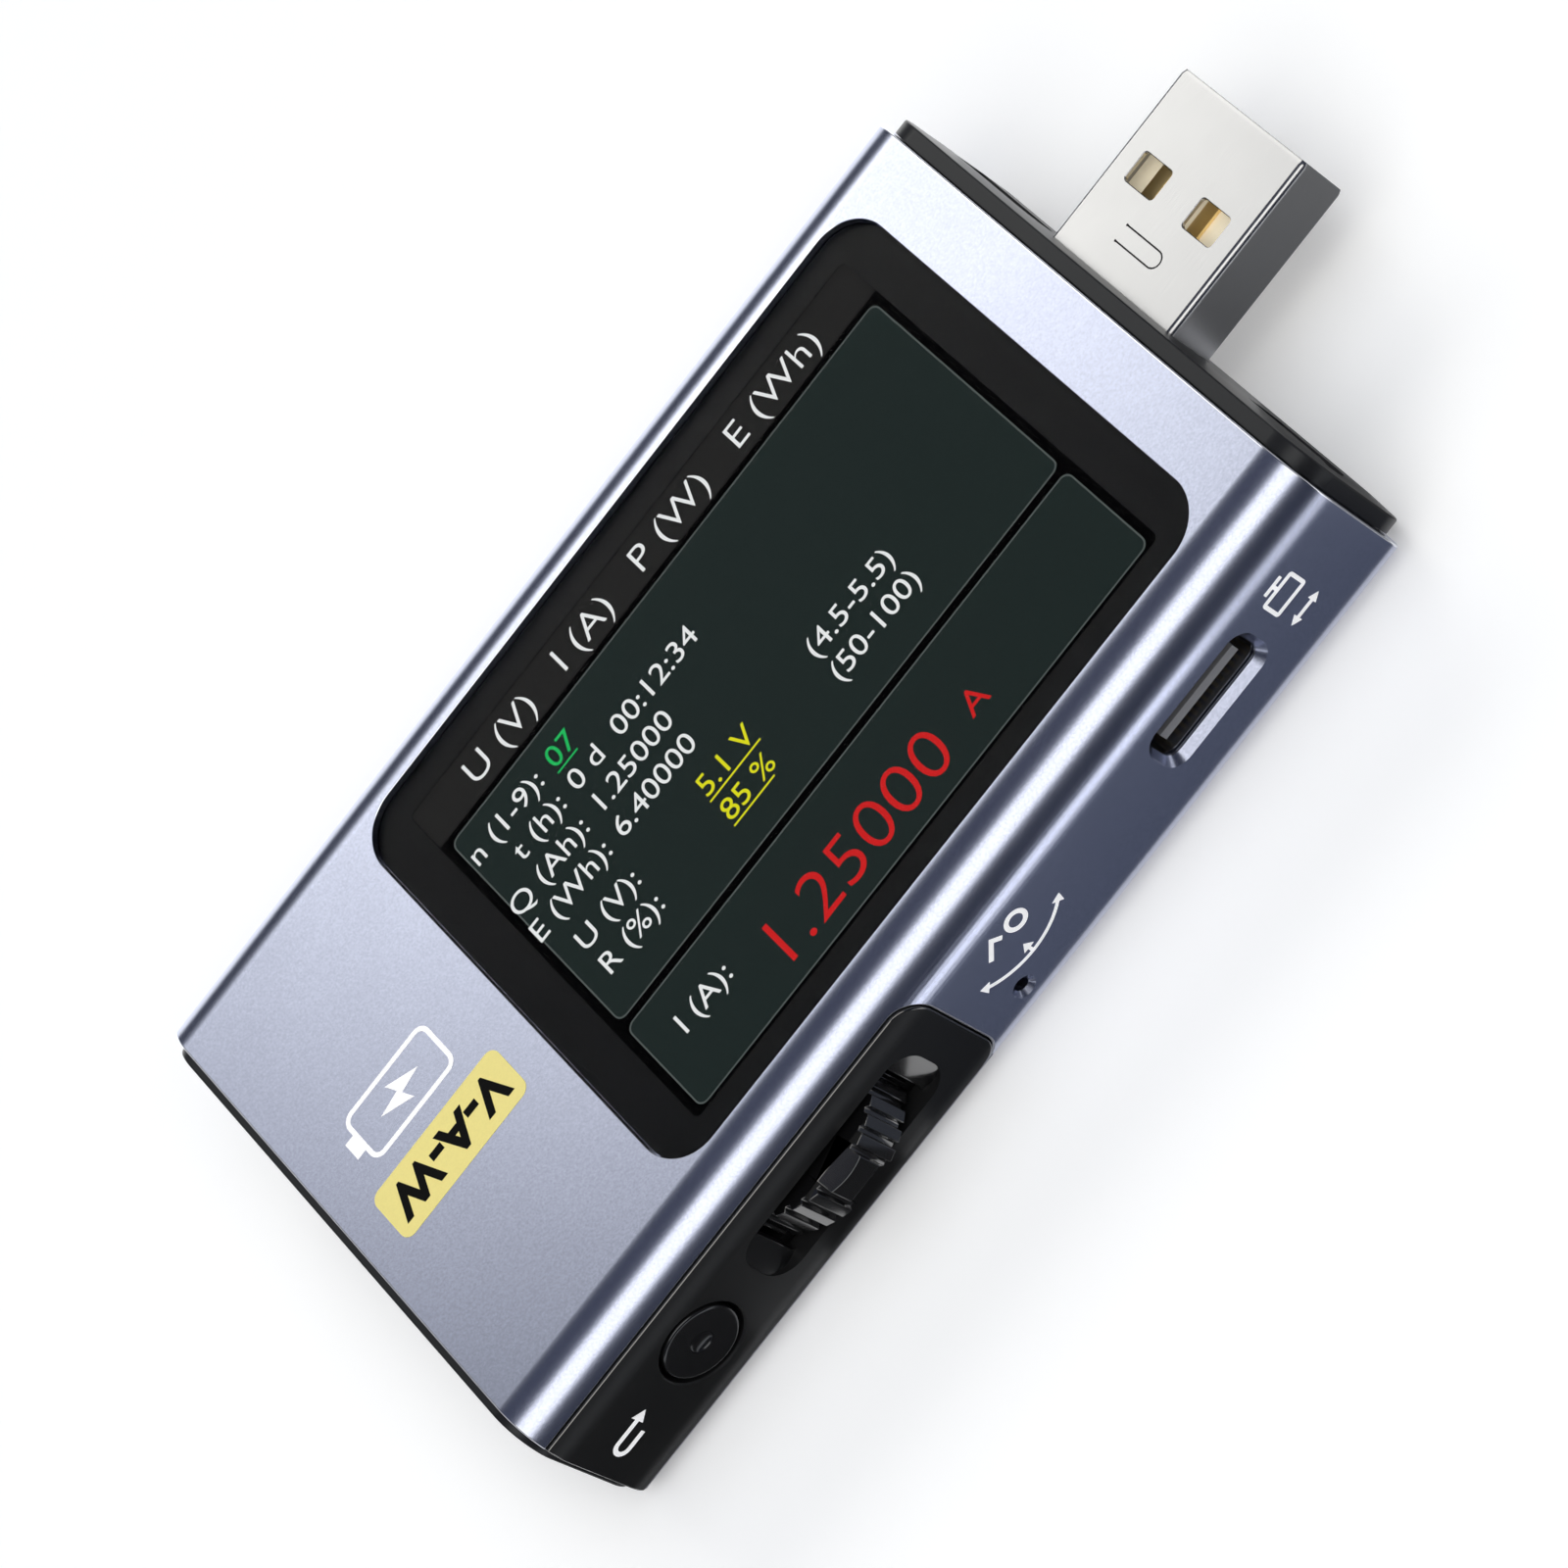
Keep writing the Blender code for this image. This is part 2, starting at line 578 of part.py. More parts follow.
def end_caps():
    plug = rounded(PLUG_WIDTH, PLUG_HEIGHT, PLUG_CORNER_RADIUS)
    usb_c = rounded(USB_C_WIDTH, USB_C_HEIGHT, USB_C_CORNER_RADIUS)
    socket = rounded(SOCKET_WIDTH, SOCKET_HEIGHT, SOCKET_CORNER_RADIUS)
    gap = PORT_OPENING_GAP
    end_cap("input_end_cap", 1, PLUG_CAP_PROUD, (
        ("_plug_hole", grown(plug, (PLUG_OFFSET, plug_z), gap)),
        ("_usb_c_hole", grown(usb_c, (usb_c_y, usb_c_z), gap)),
        ("_micro_hole", grown(micro_outline(0.0), (micro_y, micro_z), gap)),
    ))
    end_cap("output_end_cap", -1, SOCKET_CAP_PROUD, (
        ("_socket_hole", grown(socket, (-PLUG_OFFSET, socket_z), gap)),
        ("_usb_c_hole", grown(usb_c, (-usb_c_y, usb_c_z), gap)),
    ))


def control_panel():
    quarter = ARC_STEPS + 1
    outer = sleeve_outline(0.0)[quarter:3 * quarter]
    inner = sleeve_outline(PANEL_THICKNESS)[quarter:3 * quarter]
    section = outer + list(reversed(inner))
    past_panel = panel_end_x + CUT_OVERRUN
    shell = prism("control_panel", section, -end_x - CUT_OVERRUN, past_panel, ALONG_X, black_plastic)
    edge = prism("panel_edge", panel_outline(FIT_GAP, -end_x), 0.0, half_width + CUT_OVERRUN, TO_SIDE)
    combine(shell, edge, 'INTERSECT')

    root_y = PANEL_THICKNESS / 2 - half_width
    lip_front_y = SEAT_GAP - inner_half_width
    lip_back_y = lip_front_y + PANEL_LIP_THICKNESS
    step_x = panel_end_x - 2 * FIT_GAP
    lip = [
        (panel_end_x - PANEL_LIP, root_y), (step_x, root_y), (step_x, lip_front_y),
        (panel_end_x + PANEL_LIP, lip_front_y), (panel_end_x + PANEL_LIP, lip_back_y),
        (panel_end_x - PANEL_LIP, lip_back_y),
    ]
    lip_low = control_z - PANEL_LIP_HEIGHT / 2
    combine(shell, prism("panel_lip", lip, lip_low, lip_low + PANEL_LIP_HEIGHT, ALONG_Z), 'UNION')

    centre = (wheel_x, control_z)
    opening = rounded(2 * slot_half_opening, slot_height, SLOT_INNER_RADIUS, centre)
    slope_per_depth = SLOT_END_SLOPE / PANEL_THICKNESS
    outer_half = slot_half_opening + SLOT_END_SLOPE + slope_per_depth * CUT_OVERRUN
    rings = [
        (opening, -panel_inner_y - CUT_OVERRUN),
        (opening, -panel_inner_y),
        (rounded(2 * outer_half, slot_height, SLOT_CORNER_RADIUS, centre), half_width + CUT_OVERRUN),
    ]
    cut(shell, loft("wheel_slot", rings, TO_SIDE))
    hole = circle(button_hole_radius, (button_x, control_z))
    cut(shell, prism("button_hole", hole, -panel_inner_y - CUT_OVERRUN, half_width + CUT_OVERRUN, TO_SIDE))


def wheel_outline():
    """Rim with ridges either side of a plain thumb block, and a flat back."""
    block = asin(THUMB_WIDTH / 2 / WHEEL_RADIUS)
    pitch = WHEEL_RIDGE_PITCH / WHEEL_RADIUS
    back = acos(-WHEEL_BACK / WHEEL_RADIUS)
    flank = WHEEL_GROOVE_FLANK / WHEEL_RADIUS
    floor = WHEEL_GROOVE_FLOOR / WHEEL_RADIUS
    floor_radius = WHEEL_RADIUS - WHEEL_GROOVE_DEPTH
    half = [(WHEEL_RADIUS, 0.0)]
    for groove in range(WHEEL_GROOVES):
        start = block + groove * pitch
        half += [
            (WHEEL_RADIUS, start),
            (floor_radius, start + flank),
            (floor_radius, start + flank + floor),
            (WHEEL_RADIUS, start + flank + floor + flank),
        ]
    plain = block + WHEEL_GROOVES * pitch
    for step in range(ARC_STEPS + 1):
        half.append((WHEEL_RADIUS, plain + (back - plain) * step / ARC_STEPS))
    turns = [(radius, -angle) for radius, angle in reversed(half[1:])] + half
    return [(wheel_x + radius * sin(angle), wheel_y - radius * cos(angle)) for radius, angle in turns]


def thumb_wheel():
    axis = (wheel_x, wheel_y, control_z)
    top = wheel_bottom + WHEEL_THICKNESS
    wheel = prism("nav_wheel", wheel_outline(), wheel_bottom, top, ALONG_Z, wheel_plastic, axis)
    bore = circle(PIN_RADIUS + PIN_RUN_GAP, (wheel_x, wheel_y))
    cut(wheel, prism("wheel_bore", bore, wheel_bottom - CUT_OVERRUN, top + CUT_OVERRUN, ALONG_Z))
    along_side = facing((0.0, 0.0, 0.0), (1, 0, 0), (0, 0, 1))
    front = wheel_y - WHEEL_RADIUS
    for label, edge, inward in (("top", top, -1), ("bottom", wheel_bottom, 1)):
        wedge = [
            (front - THUMB_CHAMFER, edge + inward * 2 * THUMB_CHAMFER),
            (front - THUMB_CHAMFER, edge - inward * THUMB_CHAMFER),
            (front + 2 * THUMB_CHAMFER, edge - inward * THUMB_CHAMFER),
        ]
        half = THUMB_WIDTH / 2
        cut(wheel, prism("thumb_wedge_" + label, wedge, wheel_x - half, wheel_x + half, along_side))

    pin = circle(PIN_RADIUS, (wheel_x, wheel_y))
    prism("wheel_pin", pin, carrier_bottom, top - RUN_GAP, ALONG_Z, steel, axis)

    plate = rectangle(
        wheel_x - CARRIER_WIDTH / 2, wheel_x + CARRIER_WIDTH / 2,
        wheel_y - CARRIER_FRONT, wheel_y + CARRIER_BACK)
    carrier = prism("wheel_carrier", plate, carrier_bottom, carrier_top, ALONG_Z, black_plastic, axis)
    seat = circle(PIN_RADIUS + FIT_GAP / 2, (wheel_x, wheel_y))
    cut(carrier, prism("pin_seat", seat, carrier_bottom - CUT_OVERRUN, carrier_top + CUT_OVERRUN, ALONG_Z))

    low_x = wheel_x - housing_half_width
    high_x = wheel_x + housing_half_width
    base = rectangle(low_x, high_x, housing_front_y, housing_back_y)
    housing = prism("wheel_switch_housing", base, housing_bottom, carrier_top, ALONG_Z, ivory_plastic)
    track_half = CARRIER_WIDTH / 2 + RUN_GAP
    track_back = housing_back_y - HOUSING_BACK_WALL
    track = rectangle(wheel_x - track_half, wheel_x + track_half, housing_front_y - CUT_OVERRUN, track_back)
    cut(housing, prism("carrier_track", track, housing_floor_top, carrier_top + CUT_OVERRUN, ALONG_Z))
    ear_low = board_top + SEAT_GAP
    ear_high = ear_low + HOUSING_EAR_THICKNESS
    ear_back = housing_back_y + HOUSING_EAR
    ledge = [
        (track_back, housing_floor_top), (housing_back_y, housing_floor_top), (housing_back_y, ear_low),
        (ear_back, ear_low), (ear_back, ear_high), (track_back, ear_high),
    ]
    combine(housing, prism("housing_ear", ledge, low_x, high_x, along_side), 'UNION')


def switch_body(name, x, low_z, high_z, front_y, size, plunger):
    """A side-push switch body with a blind hole for its plunger: size (width, depth)."""
    width, depth = size
    outline = rectangle(x - width / 2, x + width / 2, low_z, high_z)
    body = prism(name, outline, -front_y - depth, -front_y, TO_SIDE, chip_epoxy)
    plunger_width, plunger_height, plunger_z, hole_depth = plunger
    half = plunger_width / 2 + RUN_GAP
    rise = plunger_height / 2 + RUN_GAP
    hole = rectangle(x - half, x + half, plunger_z - rise, plunger_z + rise)
    cut(body, prism(name + "_hole", hole, -front_y - hole_depth, CUT_OVERRUN - front_y, TO_SIDE))


def back_button():
    centre = (button_x, control_z)
    axis = (button_x, -half_width, control_z)
    rings = [
        (circle(BUTTON_STEM_RADIUS, centre), -stem_back_y),
        (circle(BUTTON_STEM_RADIUS, centre), -flange_back_y),
        (circle(button_radius + BUTTON_FLANGE_REACH, centre), -flange_back_y),
        (circle(button_radius + BUTTON_FLANGE_REACH, centre), -flange_front_y),
        (circle(button_radius, centre), -flange_front_y),
        (circle(button_radius, centre), half_width - BUTTON_RIM),
        (circle(button_radius - BUTTON_RIM, centre), half_width),
        (circle(BUTTON_DIMPLE_RADIUS, centre), half_width),
        (circle(BUTTON_DIMPLE_FLOOR, centre), half_width - BUTTON_DIMPLE_DEPTH),
    ]
    loft("back_button", rings, TO_SIDE, black_plastic, axis)

    plunger = rectangle(
        button_x - PLUNGER_WIDTH / 2, button_x + PLUNGER_WIDTH / 2,
        control_z - PLUNGER_HEIGHT / 2, control_z + PLUNGER_HEIGHT / 2)
    plunger_front = stem_back_y + SEAT_GAP
    plunger_back = switch_front_y + PLUNGER_ENGAGED
    prism("back_switch_plunger", plunger, -plunger_back, -plunger_front, TO_SIDE, ivory_plastic, axis)
    hole_depth = PLUNGER_ENGAGED + BUTTON_TRAVEL + RUN_GAP
    switch_body(
        "back_switch_body", button_x, board_top + SEAT_GAP, control_z + SWITCH_HALF_HEIGHT, switch_front_y,
        (SWITCH_WIDTH, SWITCH_DEPTH), (PLUNGER_WIDTH, PLUNGER_HEIGHT, control_z, hole_depth))


def reset_switch():
    half_height = RESET_HEIGHT / 2
    hole_depth = RESET_ENGAGED + RESET_TRAVEL + RUN_GAP
    switch_body(
        "reset_switch_body", pinhole_x, pinhole_z - half_height, pinhole_z + half_height, reset_front_y,
        (RESET_WIDTH, RESET_DEPTH),
        (RESET_PLUNGER_WIDTH, RESET_PLUNGER_HEIGHT, pinhole_z, hole_depth))
    outline = rectangle(
        pinhole_x - RESET_PLUNGER_WIDTH / 2, pinhole_x + RESET_PLUNGER_WIDTH / 2,
        pinhole_z - RESET_PLUNGER_HEIGHT / 2, pinhole_z + RESET_PLUNGER_HEIGHT / 2)
    front = reset_front_y - RESET_PLUNGER_PROUD
    back = reset_front_y + RESET_ENGAGED
    axis = (pinhole_x, front, pinhole_z)
    prism("reset_switch_plunger", outline, -back, -front, TO_SIDE, ivory_plastic, axis)


def main_board():
    outline = rectangle(-board_end_x, board_end_x, -board_edge_y, board_edge_y)
    board = prism("main_board", outline, board_bottom, board_top, ALONG_Z, board_mask)
    wheel_half = housing_half_width + NOTCH_GAP
    panel_room_y = flange_back_y + BUTTON_TRAVEL + NOTCH_GAP
    notches = (
        ("panel_room", -end_x, panel_end_x + PANEL_LIP + NOTCH_GAP, panel_room_y),
        ("wheel_notch", wheel_x - wheel_half, wheel_x + wheel_half, housing_back_y + NOTCH_GAP),
        ("reset_notch", pinhole_x - RESET_WIDTH / 2 - NOTCH_GAP, pinhole_x + RESET_WIDTH / 2 + NOTCH_GAP,
         reset_front_y + RESET_DEPTH + NOTCH_GAP),
    )
    for name, low_x, high_x, back_y in notches:
        notch = rectangle(low_x, high_x, -half_width, back_y)
        cut(board, prism(name, notch, board_bottom - CUT_OVERRUN, board_top + CUT_OVERRUN, ALONG_Z))


def contact_places():
    inner = CONTACT_INNER_SPREAD / 2
    outer = CONTACT_OUTER_SPREAD / 2
    return (-outer, -inner, inner, outer)


def usb_plug():
    centre = (PLUG_OFFSET, plug_z)
    shell = prism(
        "plug_shell", rounded(PLUG_WIDTH, PLUG_HEIGHT, PLUG_CORNER_RADIUS, centre),
        plug_back_x, plug_tip_x, ALONG_X, steel)
    inner_width = PLUG_WIDTH - 2 * PLUG_WALL
    inner_height = PLUG_HEIGHT - 2 * PLUG_WALL
    bore = rounded(inner_width, inner_height, PLUG_CORNER_RADIUS - PLUG_WALL, centre)
    cut(shell, prism("plug_bore", bore, plug_back_x - CUT_OVERRUN, plug_tip_x + CUT_OVERRUN, ALONG_X))
    window_x = plug_tip_x - PLUG_WINDOW_FROM_TIP
    for label, side in (("left", 1), ("right", -1)):
        place = (window_x, PLUG_OFFSET + side * PLUG_WINDOW_SPREAD / 2)
        window = rounded(PLUG_WINDOW_LENGTH, PLUG_WINDOW_WIDTH, PLUG_WINDOW_RADIUS, place)
        below = plug_bottom - CUT_OVERRUN
        above = plug_bottom + PLUG_HEIGHT + CUT_OVERRUN
        cut(shell, prism("plug_window_" + label, window, below, above, ALONG_Z))

    core_half = inner_width / 2 - FIT_GAP
    core = rectangle(PLUG_OFFSET - core_half, PLUG_OFFSET + core_half, plug_core_bottom, plug_core_top)
    core_tip_x = plug_tip_x - PLUG_CORE_RECESS
    prism("plug_core", core, plug_core_back_x, core_tip_x, ALONG_X, core_plastic)

    low = plug_core_top + SEAT_GAP
    high = low + CONTACT_THICKNESS
    foot = board_top + SEAT_GAP
    tail_x = plug_back_x - CONTACT_TAIL
    strip = [
        (core_tip_x - CONTACT_RECESS, low), (core_tip_x - CONTACT_RECESS, high), (tail_x, high),
        (tail_x, foot), (tail_x + CONTACT_THICKNESS, foot), (tail_x + CONTACT_THICKNESS, low),
    ]
    for number, place in enumerate(contact_places(), 1):
        across = facing((0.0, PLUG_OFFSET + place, 0.0), (0, -1, 0), (0, 0, 1))
        half = CONTACT_WIDTH / 2
        prism("plug_contact_%d" % number, strip, -half, half, across, gold)


def output_socket():
    frame = facing((0.0, PLUG_OFFSET, socket_z), (-1, 0, 0), (0, 0, 1))
    back = output_mouth_x - SOCKET_LENGTH
    outer = rounded(SOCKET_WIDTH, SOCKET_HEIGHT, SOCKET_CORNER_RADIUS)
    shell = prism("output_socket_shell", outer, back, output_mouth_x, frame, steel)
    inner_width = SOCKET_WIDTH - 2 * SOCKET_WALL
    inner_height = SOCKET_HEIGHT - 2 * SOCKET_WALL
    bore = rounded(inner_width, inner_height, SOCKET_CORNER_RADIUS - SOCKET_WALL)
    cut(shell, prism("output_socket_bore", bore, back - CUT_OVERRUN, output_mouth_x + CUT_OVERRUN, frame))

    along = facing((0.0, PLUG_OFFSET, socket_z), (0, -1, 0), (0, 0, 1))
    half = inner_height / 2 - SEAT_GAP
    low = SOCKET_TONGUE_RISE
    high = low + SOCKET_TONGUE_THICKNESS
    tip = SOCKET_TONGUE_RECESS - output_mouth_x
    block_back = -back
    block_front = block_back - SOCKET_BLOCK_LENGTH
    outline = [
        (tip, low), (block_front, low), (block_front, -half), (block_back, -half),
        (block_back, half), (block_front, half), (block_front, high), (tip, high),
    ]
    tongue_half = SOCKET_TONGUE_WIDTH / 2
    prism("output_socket_tongue", outline, -tongue_half, tongue_half, along, ivory_plastic)
    strip_top = low - SEAT_GAP
    strip_bottom = strip_top - CONTACT_THICKNESS
    strip = rectangle(tip + CONTACT_RECESS, block_front - SEAT_GAP, strip_bottom, strip_top)
    for number, place in enumerate(contact_places(), 1):
        half = CONTACT_WIDTH / 2
        prism("output_contact_%d" % number, strip, place - half, place + half, along, gold)


def micro_outline(inset):
    half = MICRO_WIDTH / 2 - inset
    floor_half = MICRO_FLOOR_WIDTH / 2 - inset
    high = MICRO_HEIGHT / 2 - inset
    return [
        (half, 0.0), (half, high), (-half, high),
        (-half, 0.0), (-floor_half, -high), (floor_half, -high),
    ]


def small_port(name, mouth, out, outlines, length, tongue):
    """A small socket with its mouth centred at mouth: a tubular shell and a tongue on a back block."""
    outer, bore = outlines
    frame = facing(mouth, out, (0, 0, 1))
    shell = prism(name + "_shell", outer, -length, 0.0, frame, steel)
    cut(shell, prism(name + "_bore", bore, -length - CUT_OVERRUN, CUT_OVERRUN, frame))
    width, thickness, block_length, block_height = tongue
    sideways = Vector((0, 0, 1)).cross(Vector(out))
    along = facing(mouth, sideways, (0, 0, 1))
    front = TONGUE_RECESS
    block_front = length - block_length
    outline = [
        (front, -thickness / 2), (block_front, -thickness / 2), (block_front, -block_height / 2),
        (length, -block_height / 2), (length, block_height / 2), (block_front, block_height / 2),
        (block_front, thickness / 2), (front, thickness / 2),
    ]
    prism(name + "_tongue", outline, -width / 2, width / 2, along, chip_epoxy)


def small_ports():
    wall = USB_C_WALL
    usb_c = (
        rounded(USB_C_WIDTH, USB_C_HEIGHT, USB_C_CORNER_RADIUS),
        rounded(USB_C_WIDTH - 2 * wall, USB_C_HEIGHT - 2 * wall, USB_C_CORNER_RADIUS - wall))
    block_height = USB_C_HEIGHT - 2 * wall - 2 * FIT_GAP
    tongue = (USB_C_TONGUE_WIDTH, USB_C_TONGUE_THICKNESS, USB_C_BLOCK_LENGTH, block_height)
    ports = (
        ("side_port", (side_port_x, side_port_mouth_y, usb_c_z), (0, -1, 0)),
        ("input_usb_c", (input_mouth_x, usb_c_y, usb_c_z), (1, 0, 0)),
        ("output_usb_c", (-output_mouth_x, usb_c_y, usb_c_z), (-1, 0, 0)),
    )
    for name, mouth, out in ports:
        small_port(name, mouth, out, usb_c, USB_C_LENGTH, tongue)
    micro = (micro_outline(0.0), micro_outline(MICRO_WALL))
    block_height = MICRO_HEIGHT - 2 * MICRO_WALL - 2 * FIT_GAP
    tongue = (MICRO_TONGUE_WIDTH, MICRO_TONGUE_THICKNESS, MICRO_BLOCK_LENGTH, block_height)
    small_port("input_micro_usb", (input_mouth_x, micro_y, micro_z), (1, 0, 0), micro, MICRO_LENGTH, tongue)


def chip(name, size, place, material, under=False):
    """A block on the board, or under it: size (length, width, height), place (x, y)."""
    length, width, height = size
    x, y = place
    outline = rectangle(x - length / 2, x + length / 2, y - width / 2, y + width / 2)
    low = board_bottom - SEAT_GAP - height if under else board_top + SEAT_GAP
    prism(name, outline, low, low + height, ALONG_Z, material)


def chips():
    processor = (PROCESSOR_SIZE, PROCESSOR_SIZE, PROCESSOR_HEIGHT)
    chip("processor_chip", processor, (PROCESSOR_X, board_edge_y - PROCESSOR_FROM_EDGE), chip_epoxy)
    memory = (MEMORY_LENGTH, MEMORY_WIDTH, MEMORY_HEIGHT)
    chip("memory_chip", memory, (MEMORY_X, board_edge_y - MEMORY_FROM_EDGE), chip_epoxy)
    crystal = (CRYSTAL_LENGTH, CRYSTAL_WIDTH, CRYSTAL_HEIGHT)
    chip("crystal_can", crystal, (CRYSTAL_X, board_edge_y - CRYSTAL_FROM_EDGE), steel)
    inductor = (INDUCTOR_SIZE, INDUCTOR_SIZE, INDUCTOR_HEIGHT)
    chip("power_inductor", inductor, (INDUCTOR_X, INDUCTOR_Y), ferrite)
    meter = (METER_CHIP_SIZE, METER_CHIP_SIZE, METER_CHIP_HEIGHT)
    chip("metering_chip", meter, (METER_CHIP_X, METER_CHIP_Y), chip_epoxy, under=True)
    shunt = (SHUNT_LENGTH, SHUNT_WIDTH, SHUNT_HEIGHT)
    chip("shunt_resistor", shunt, (SHUNT_X, SHUNT_Y), chip_epoxy, under=True)


case_tube()
display_stack()
end_caps()
control_panel()
thumb_wheel()
back_button()
reset_switch()
main_board()
usb_plug()
output_socket()
small_ports()
chips()
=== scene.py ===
import json
from math import acos, asin, cos, pi, radians, sin, sqrt

import bmesh
import bpy
from mathutils import Matrix, Vector


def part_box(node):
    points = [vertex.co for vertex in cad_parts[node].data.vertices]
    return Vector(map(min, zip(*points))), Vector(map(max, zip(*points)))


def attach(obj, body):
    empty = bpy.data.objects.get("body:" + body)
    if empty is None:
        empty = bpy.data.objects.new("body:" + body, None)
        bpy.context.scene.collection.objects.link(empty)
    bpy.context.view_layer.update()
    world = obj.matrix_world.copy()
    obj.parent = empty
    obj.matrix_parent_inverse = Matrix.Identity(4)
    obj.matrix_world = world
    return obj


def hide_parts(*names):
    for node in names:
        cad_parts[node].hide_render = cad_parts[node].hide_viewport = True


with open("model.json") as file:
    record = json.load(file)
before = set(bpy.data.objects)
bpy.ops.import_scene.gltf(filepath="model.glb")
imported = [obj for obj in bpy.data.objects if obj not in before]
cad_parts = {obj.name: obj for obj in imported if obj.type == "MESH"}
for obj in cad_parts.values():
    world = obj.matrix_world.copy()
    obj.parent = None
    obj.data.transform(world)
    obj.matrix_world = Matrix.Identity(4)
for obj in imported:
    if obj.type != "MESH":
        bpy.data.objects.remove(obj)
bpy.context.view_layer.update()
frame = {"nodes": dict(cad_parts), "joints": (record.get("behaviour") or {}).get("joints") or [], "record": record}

mm = 0.001


# places read from the frame
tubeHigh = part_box("case_tube")[1]
endX = tubeHigh.x
halfWidth = tubeHigh.y
topZ = tubeHigh.z
glassLow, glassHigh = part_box("display_glass")
glassX = (glassLow.x + glassHigh.x) / 2
glassLength = glassHigh.x - glassLow.x
glassWidth = glassHigh.y - glassLow.y
wheelJoint = next(joint for joint in frame["joints"] if joint["name"] == "wheel_rock")
wheelAxis = Vector(wheelJoint["pos_m"])
buttonLow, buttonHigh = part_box("back_button")
buttonX = (buttonLow.x + buttonHigh.x) / 2
controlZ = wheelAxis.z


# modelling helpers
def facing(origin, out, up):
    third = Vector(out)
    second = Vector(up)
    turned = Matrix((second.cross(third), second, third)).transposed().to_4x4()
    return Matrix.Translation(Vector(origin)) @ turned


alongX = facing((0, 0, 0), (1, 0, 0), (0, 0, 1))  # outline in Y, Z
alongZ = facing((0, 0, 0), (0, 0, 1), (0, 1, 0))  # outline in X, Y
toSide = facing((0, 0, 0), (0, -1, 0), (0, 0, 1))  # outline in X, Z
arcSteps = 20


def rounded(width, height, radius, centre=(0.0, 0.0), steps=arcSteps):
    points = []
    for quarter, (side, end) in enumerate(((1, 1), (-1, 1), (-1, -1), (1, -1))):
        cornerA = centre[0] + side * (width / 2 - radius)
        cornerB = centre[1] + end * (height / 2 - radius)
        for step in range(steps + 1):
            angle = (quarter + step / steps) * pi / 2
            points.append((cornerA + radius * cos(angle), cornerB + radius * sin(angle)))
    return points


def circle(radius, centre=(0.0, 0.0), steps=64):
    turns = [2 * pi * step / steps for step in range(steps)]
    return [(centre[0] + radius * cos(turn), centre[1] + radius * sin(turn)) for turn in turns]


def rectangle(lowA, highA, lowB, highB):
    return [(lowA, lowB), (highA, lowB), (highA, highB), (lowA, highB)]


def sleeveOutline(inset):
    width = 2 * halfWidth - 2 * inset
    return rounded(width, topZ - 2 * inset, sleeve["cornerRadius"] - inset, (0.0, topZ / 2))


def addObject(name, shape, finishes):
    bmesh.ops.recalc_face_normals(shape, faces=shape.faces[:])
    mesh = bpy.data.meshes.new(name)
    shape.to_mesh(mesh)
    shape.free()
    for finish in finishes:
        mesh.materials.append(finish)
    piece = bpy.data.objects.new(name, mesh)
    bpy.context.scene.collection.objects.link(piece)
    return piece


def skin(name, loops, finishes=(), bands=()):
    # closed skin over loops of points, with both ends capped
    shape = bmesh.new()
    rows = [[shape.verts.new(point) for point in loop] for loop in loops]
    for index, (lower, upper) in enumerate(zip(rows, rows[1:])):
        for k in range(len(lower)):
            face = shape.faces.new((lower[k - 1], lower[k], upper[k], upper[k - 1]))
            face.material_index = bands[index] if bands else 0
    shape.faces.new(list(reversed(rows[0])))
    shape.faces.new(rows[-1])
    return addObject(name, shape, finishes)


def loft(name, rings, axes, finishes=(), bands=()):
    loops = [[axes @ Vector((a, b, distance)) for a, b in outline] for outline, distance in rings]
    return skin(name, loops, finishes, bands)


def prism(name, outline, low, high, axes, finishes=()):
    return loft(name, [(outline, low), (outline, high)], axes, finishes)


def bake(piece):
    bpy.context.view_layer.update()
    graph = bpy.context.evaluated_depsgraph_get()
    mesh = bpy.data.meshes.new_from_object(piece.evaluated_get(graph))
    piece.modifiers.clear()
    piece.data = mesh


def combine(piece, tools, operation='DIFFERENCE'):
    for tool in tools:
        step = piece.modifiers.new(tool.name, 'BOOLEAN')
        step.operation = operation
        step.object = tool
        step.solver = 'EXACT'
    bake(piece)
    for tool in tools:
        bpy.data.objects.remove(tool)


def soften(piece, width, finish=-1):
    # rounds the sharp edges; holes are cut afterwards, so every face is still whole
    shape = bmesh.new()
    shape.from_mesh(piece.data)
    weight = shape.edges.layers.float.new("bevel_weight_edge")
    for edge in shape.edges:
        edge[weight] = 1.0 if edge.calc_face_angle(0.0) > radians(40) else 0.0
    shape.to_mesh(piece.data)
    shape.free()
    soft = piece.modifiers.new("softEdge", 'BEVEL')
    soft.width = width
    soft.segments = 3
    soft.limit_method = 'WEIGHT'
    soft.use_clamp_overlap = False
    soft.material = finish
    bake(piece)


def roundedEnds(outlineAt, low, high, edge, steps=3):
    # rings of a bar whose two end edges are rounded; outlineAt gives the outline at an inset
    rings = []
    for end, inward in ((low, 1), (high, -1)):
        half = []
        for step in range(steps + 1):
            turn = step / steps * pi / 2
            half.append((outlineAt(edge * (1 - sin(turn))), end + inward * edge * (1 - cos(turn))))
        rings += half if inward > 0 else reversed(half)
    return rings


def chamferedCut(outlineAt, low, surface, chamfer, spread=1.0):
    # rings of a cutter that opens out at the surface; outlineAt gives the outline at a growth
    over = 0.5 * mm
    wide = outlineAt(spread * (chamfer + over))
    return [(outlineAt(0.0), low), (outlineAt(0.0), surface - chamfer), (wide, surface + over)]


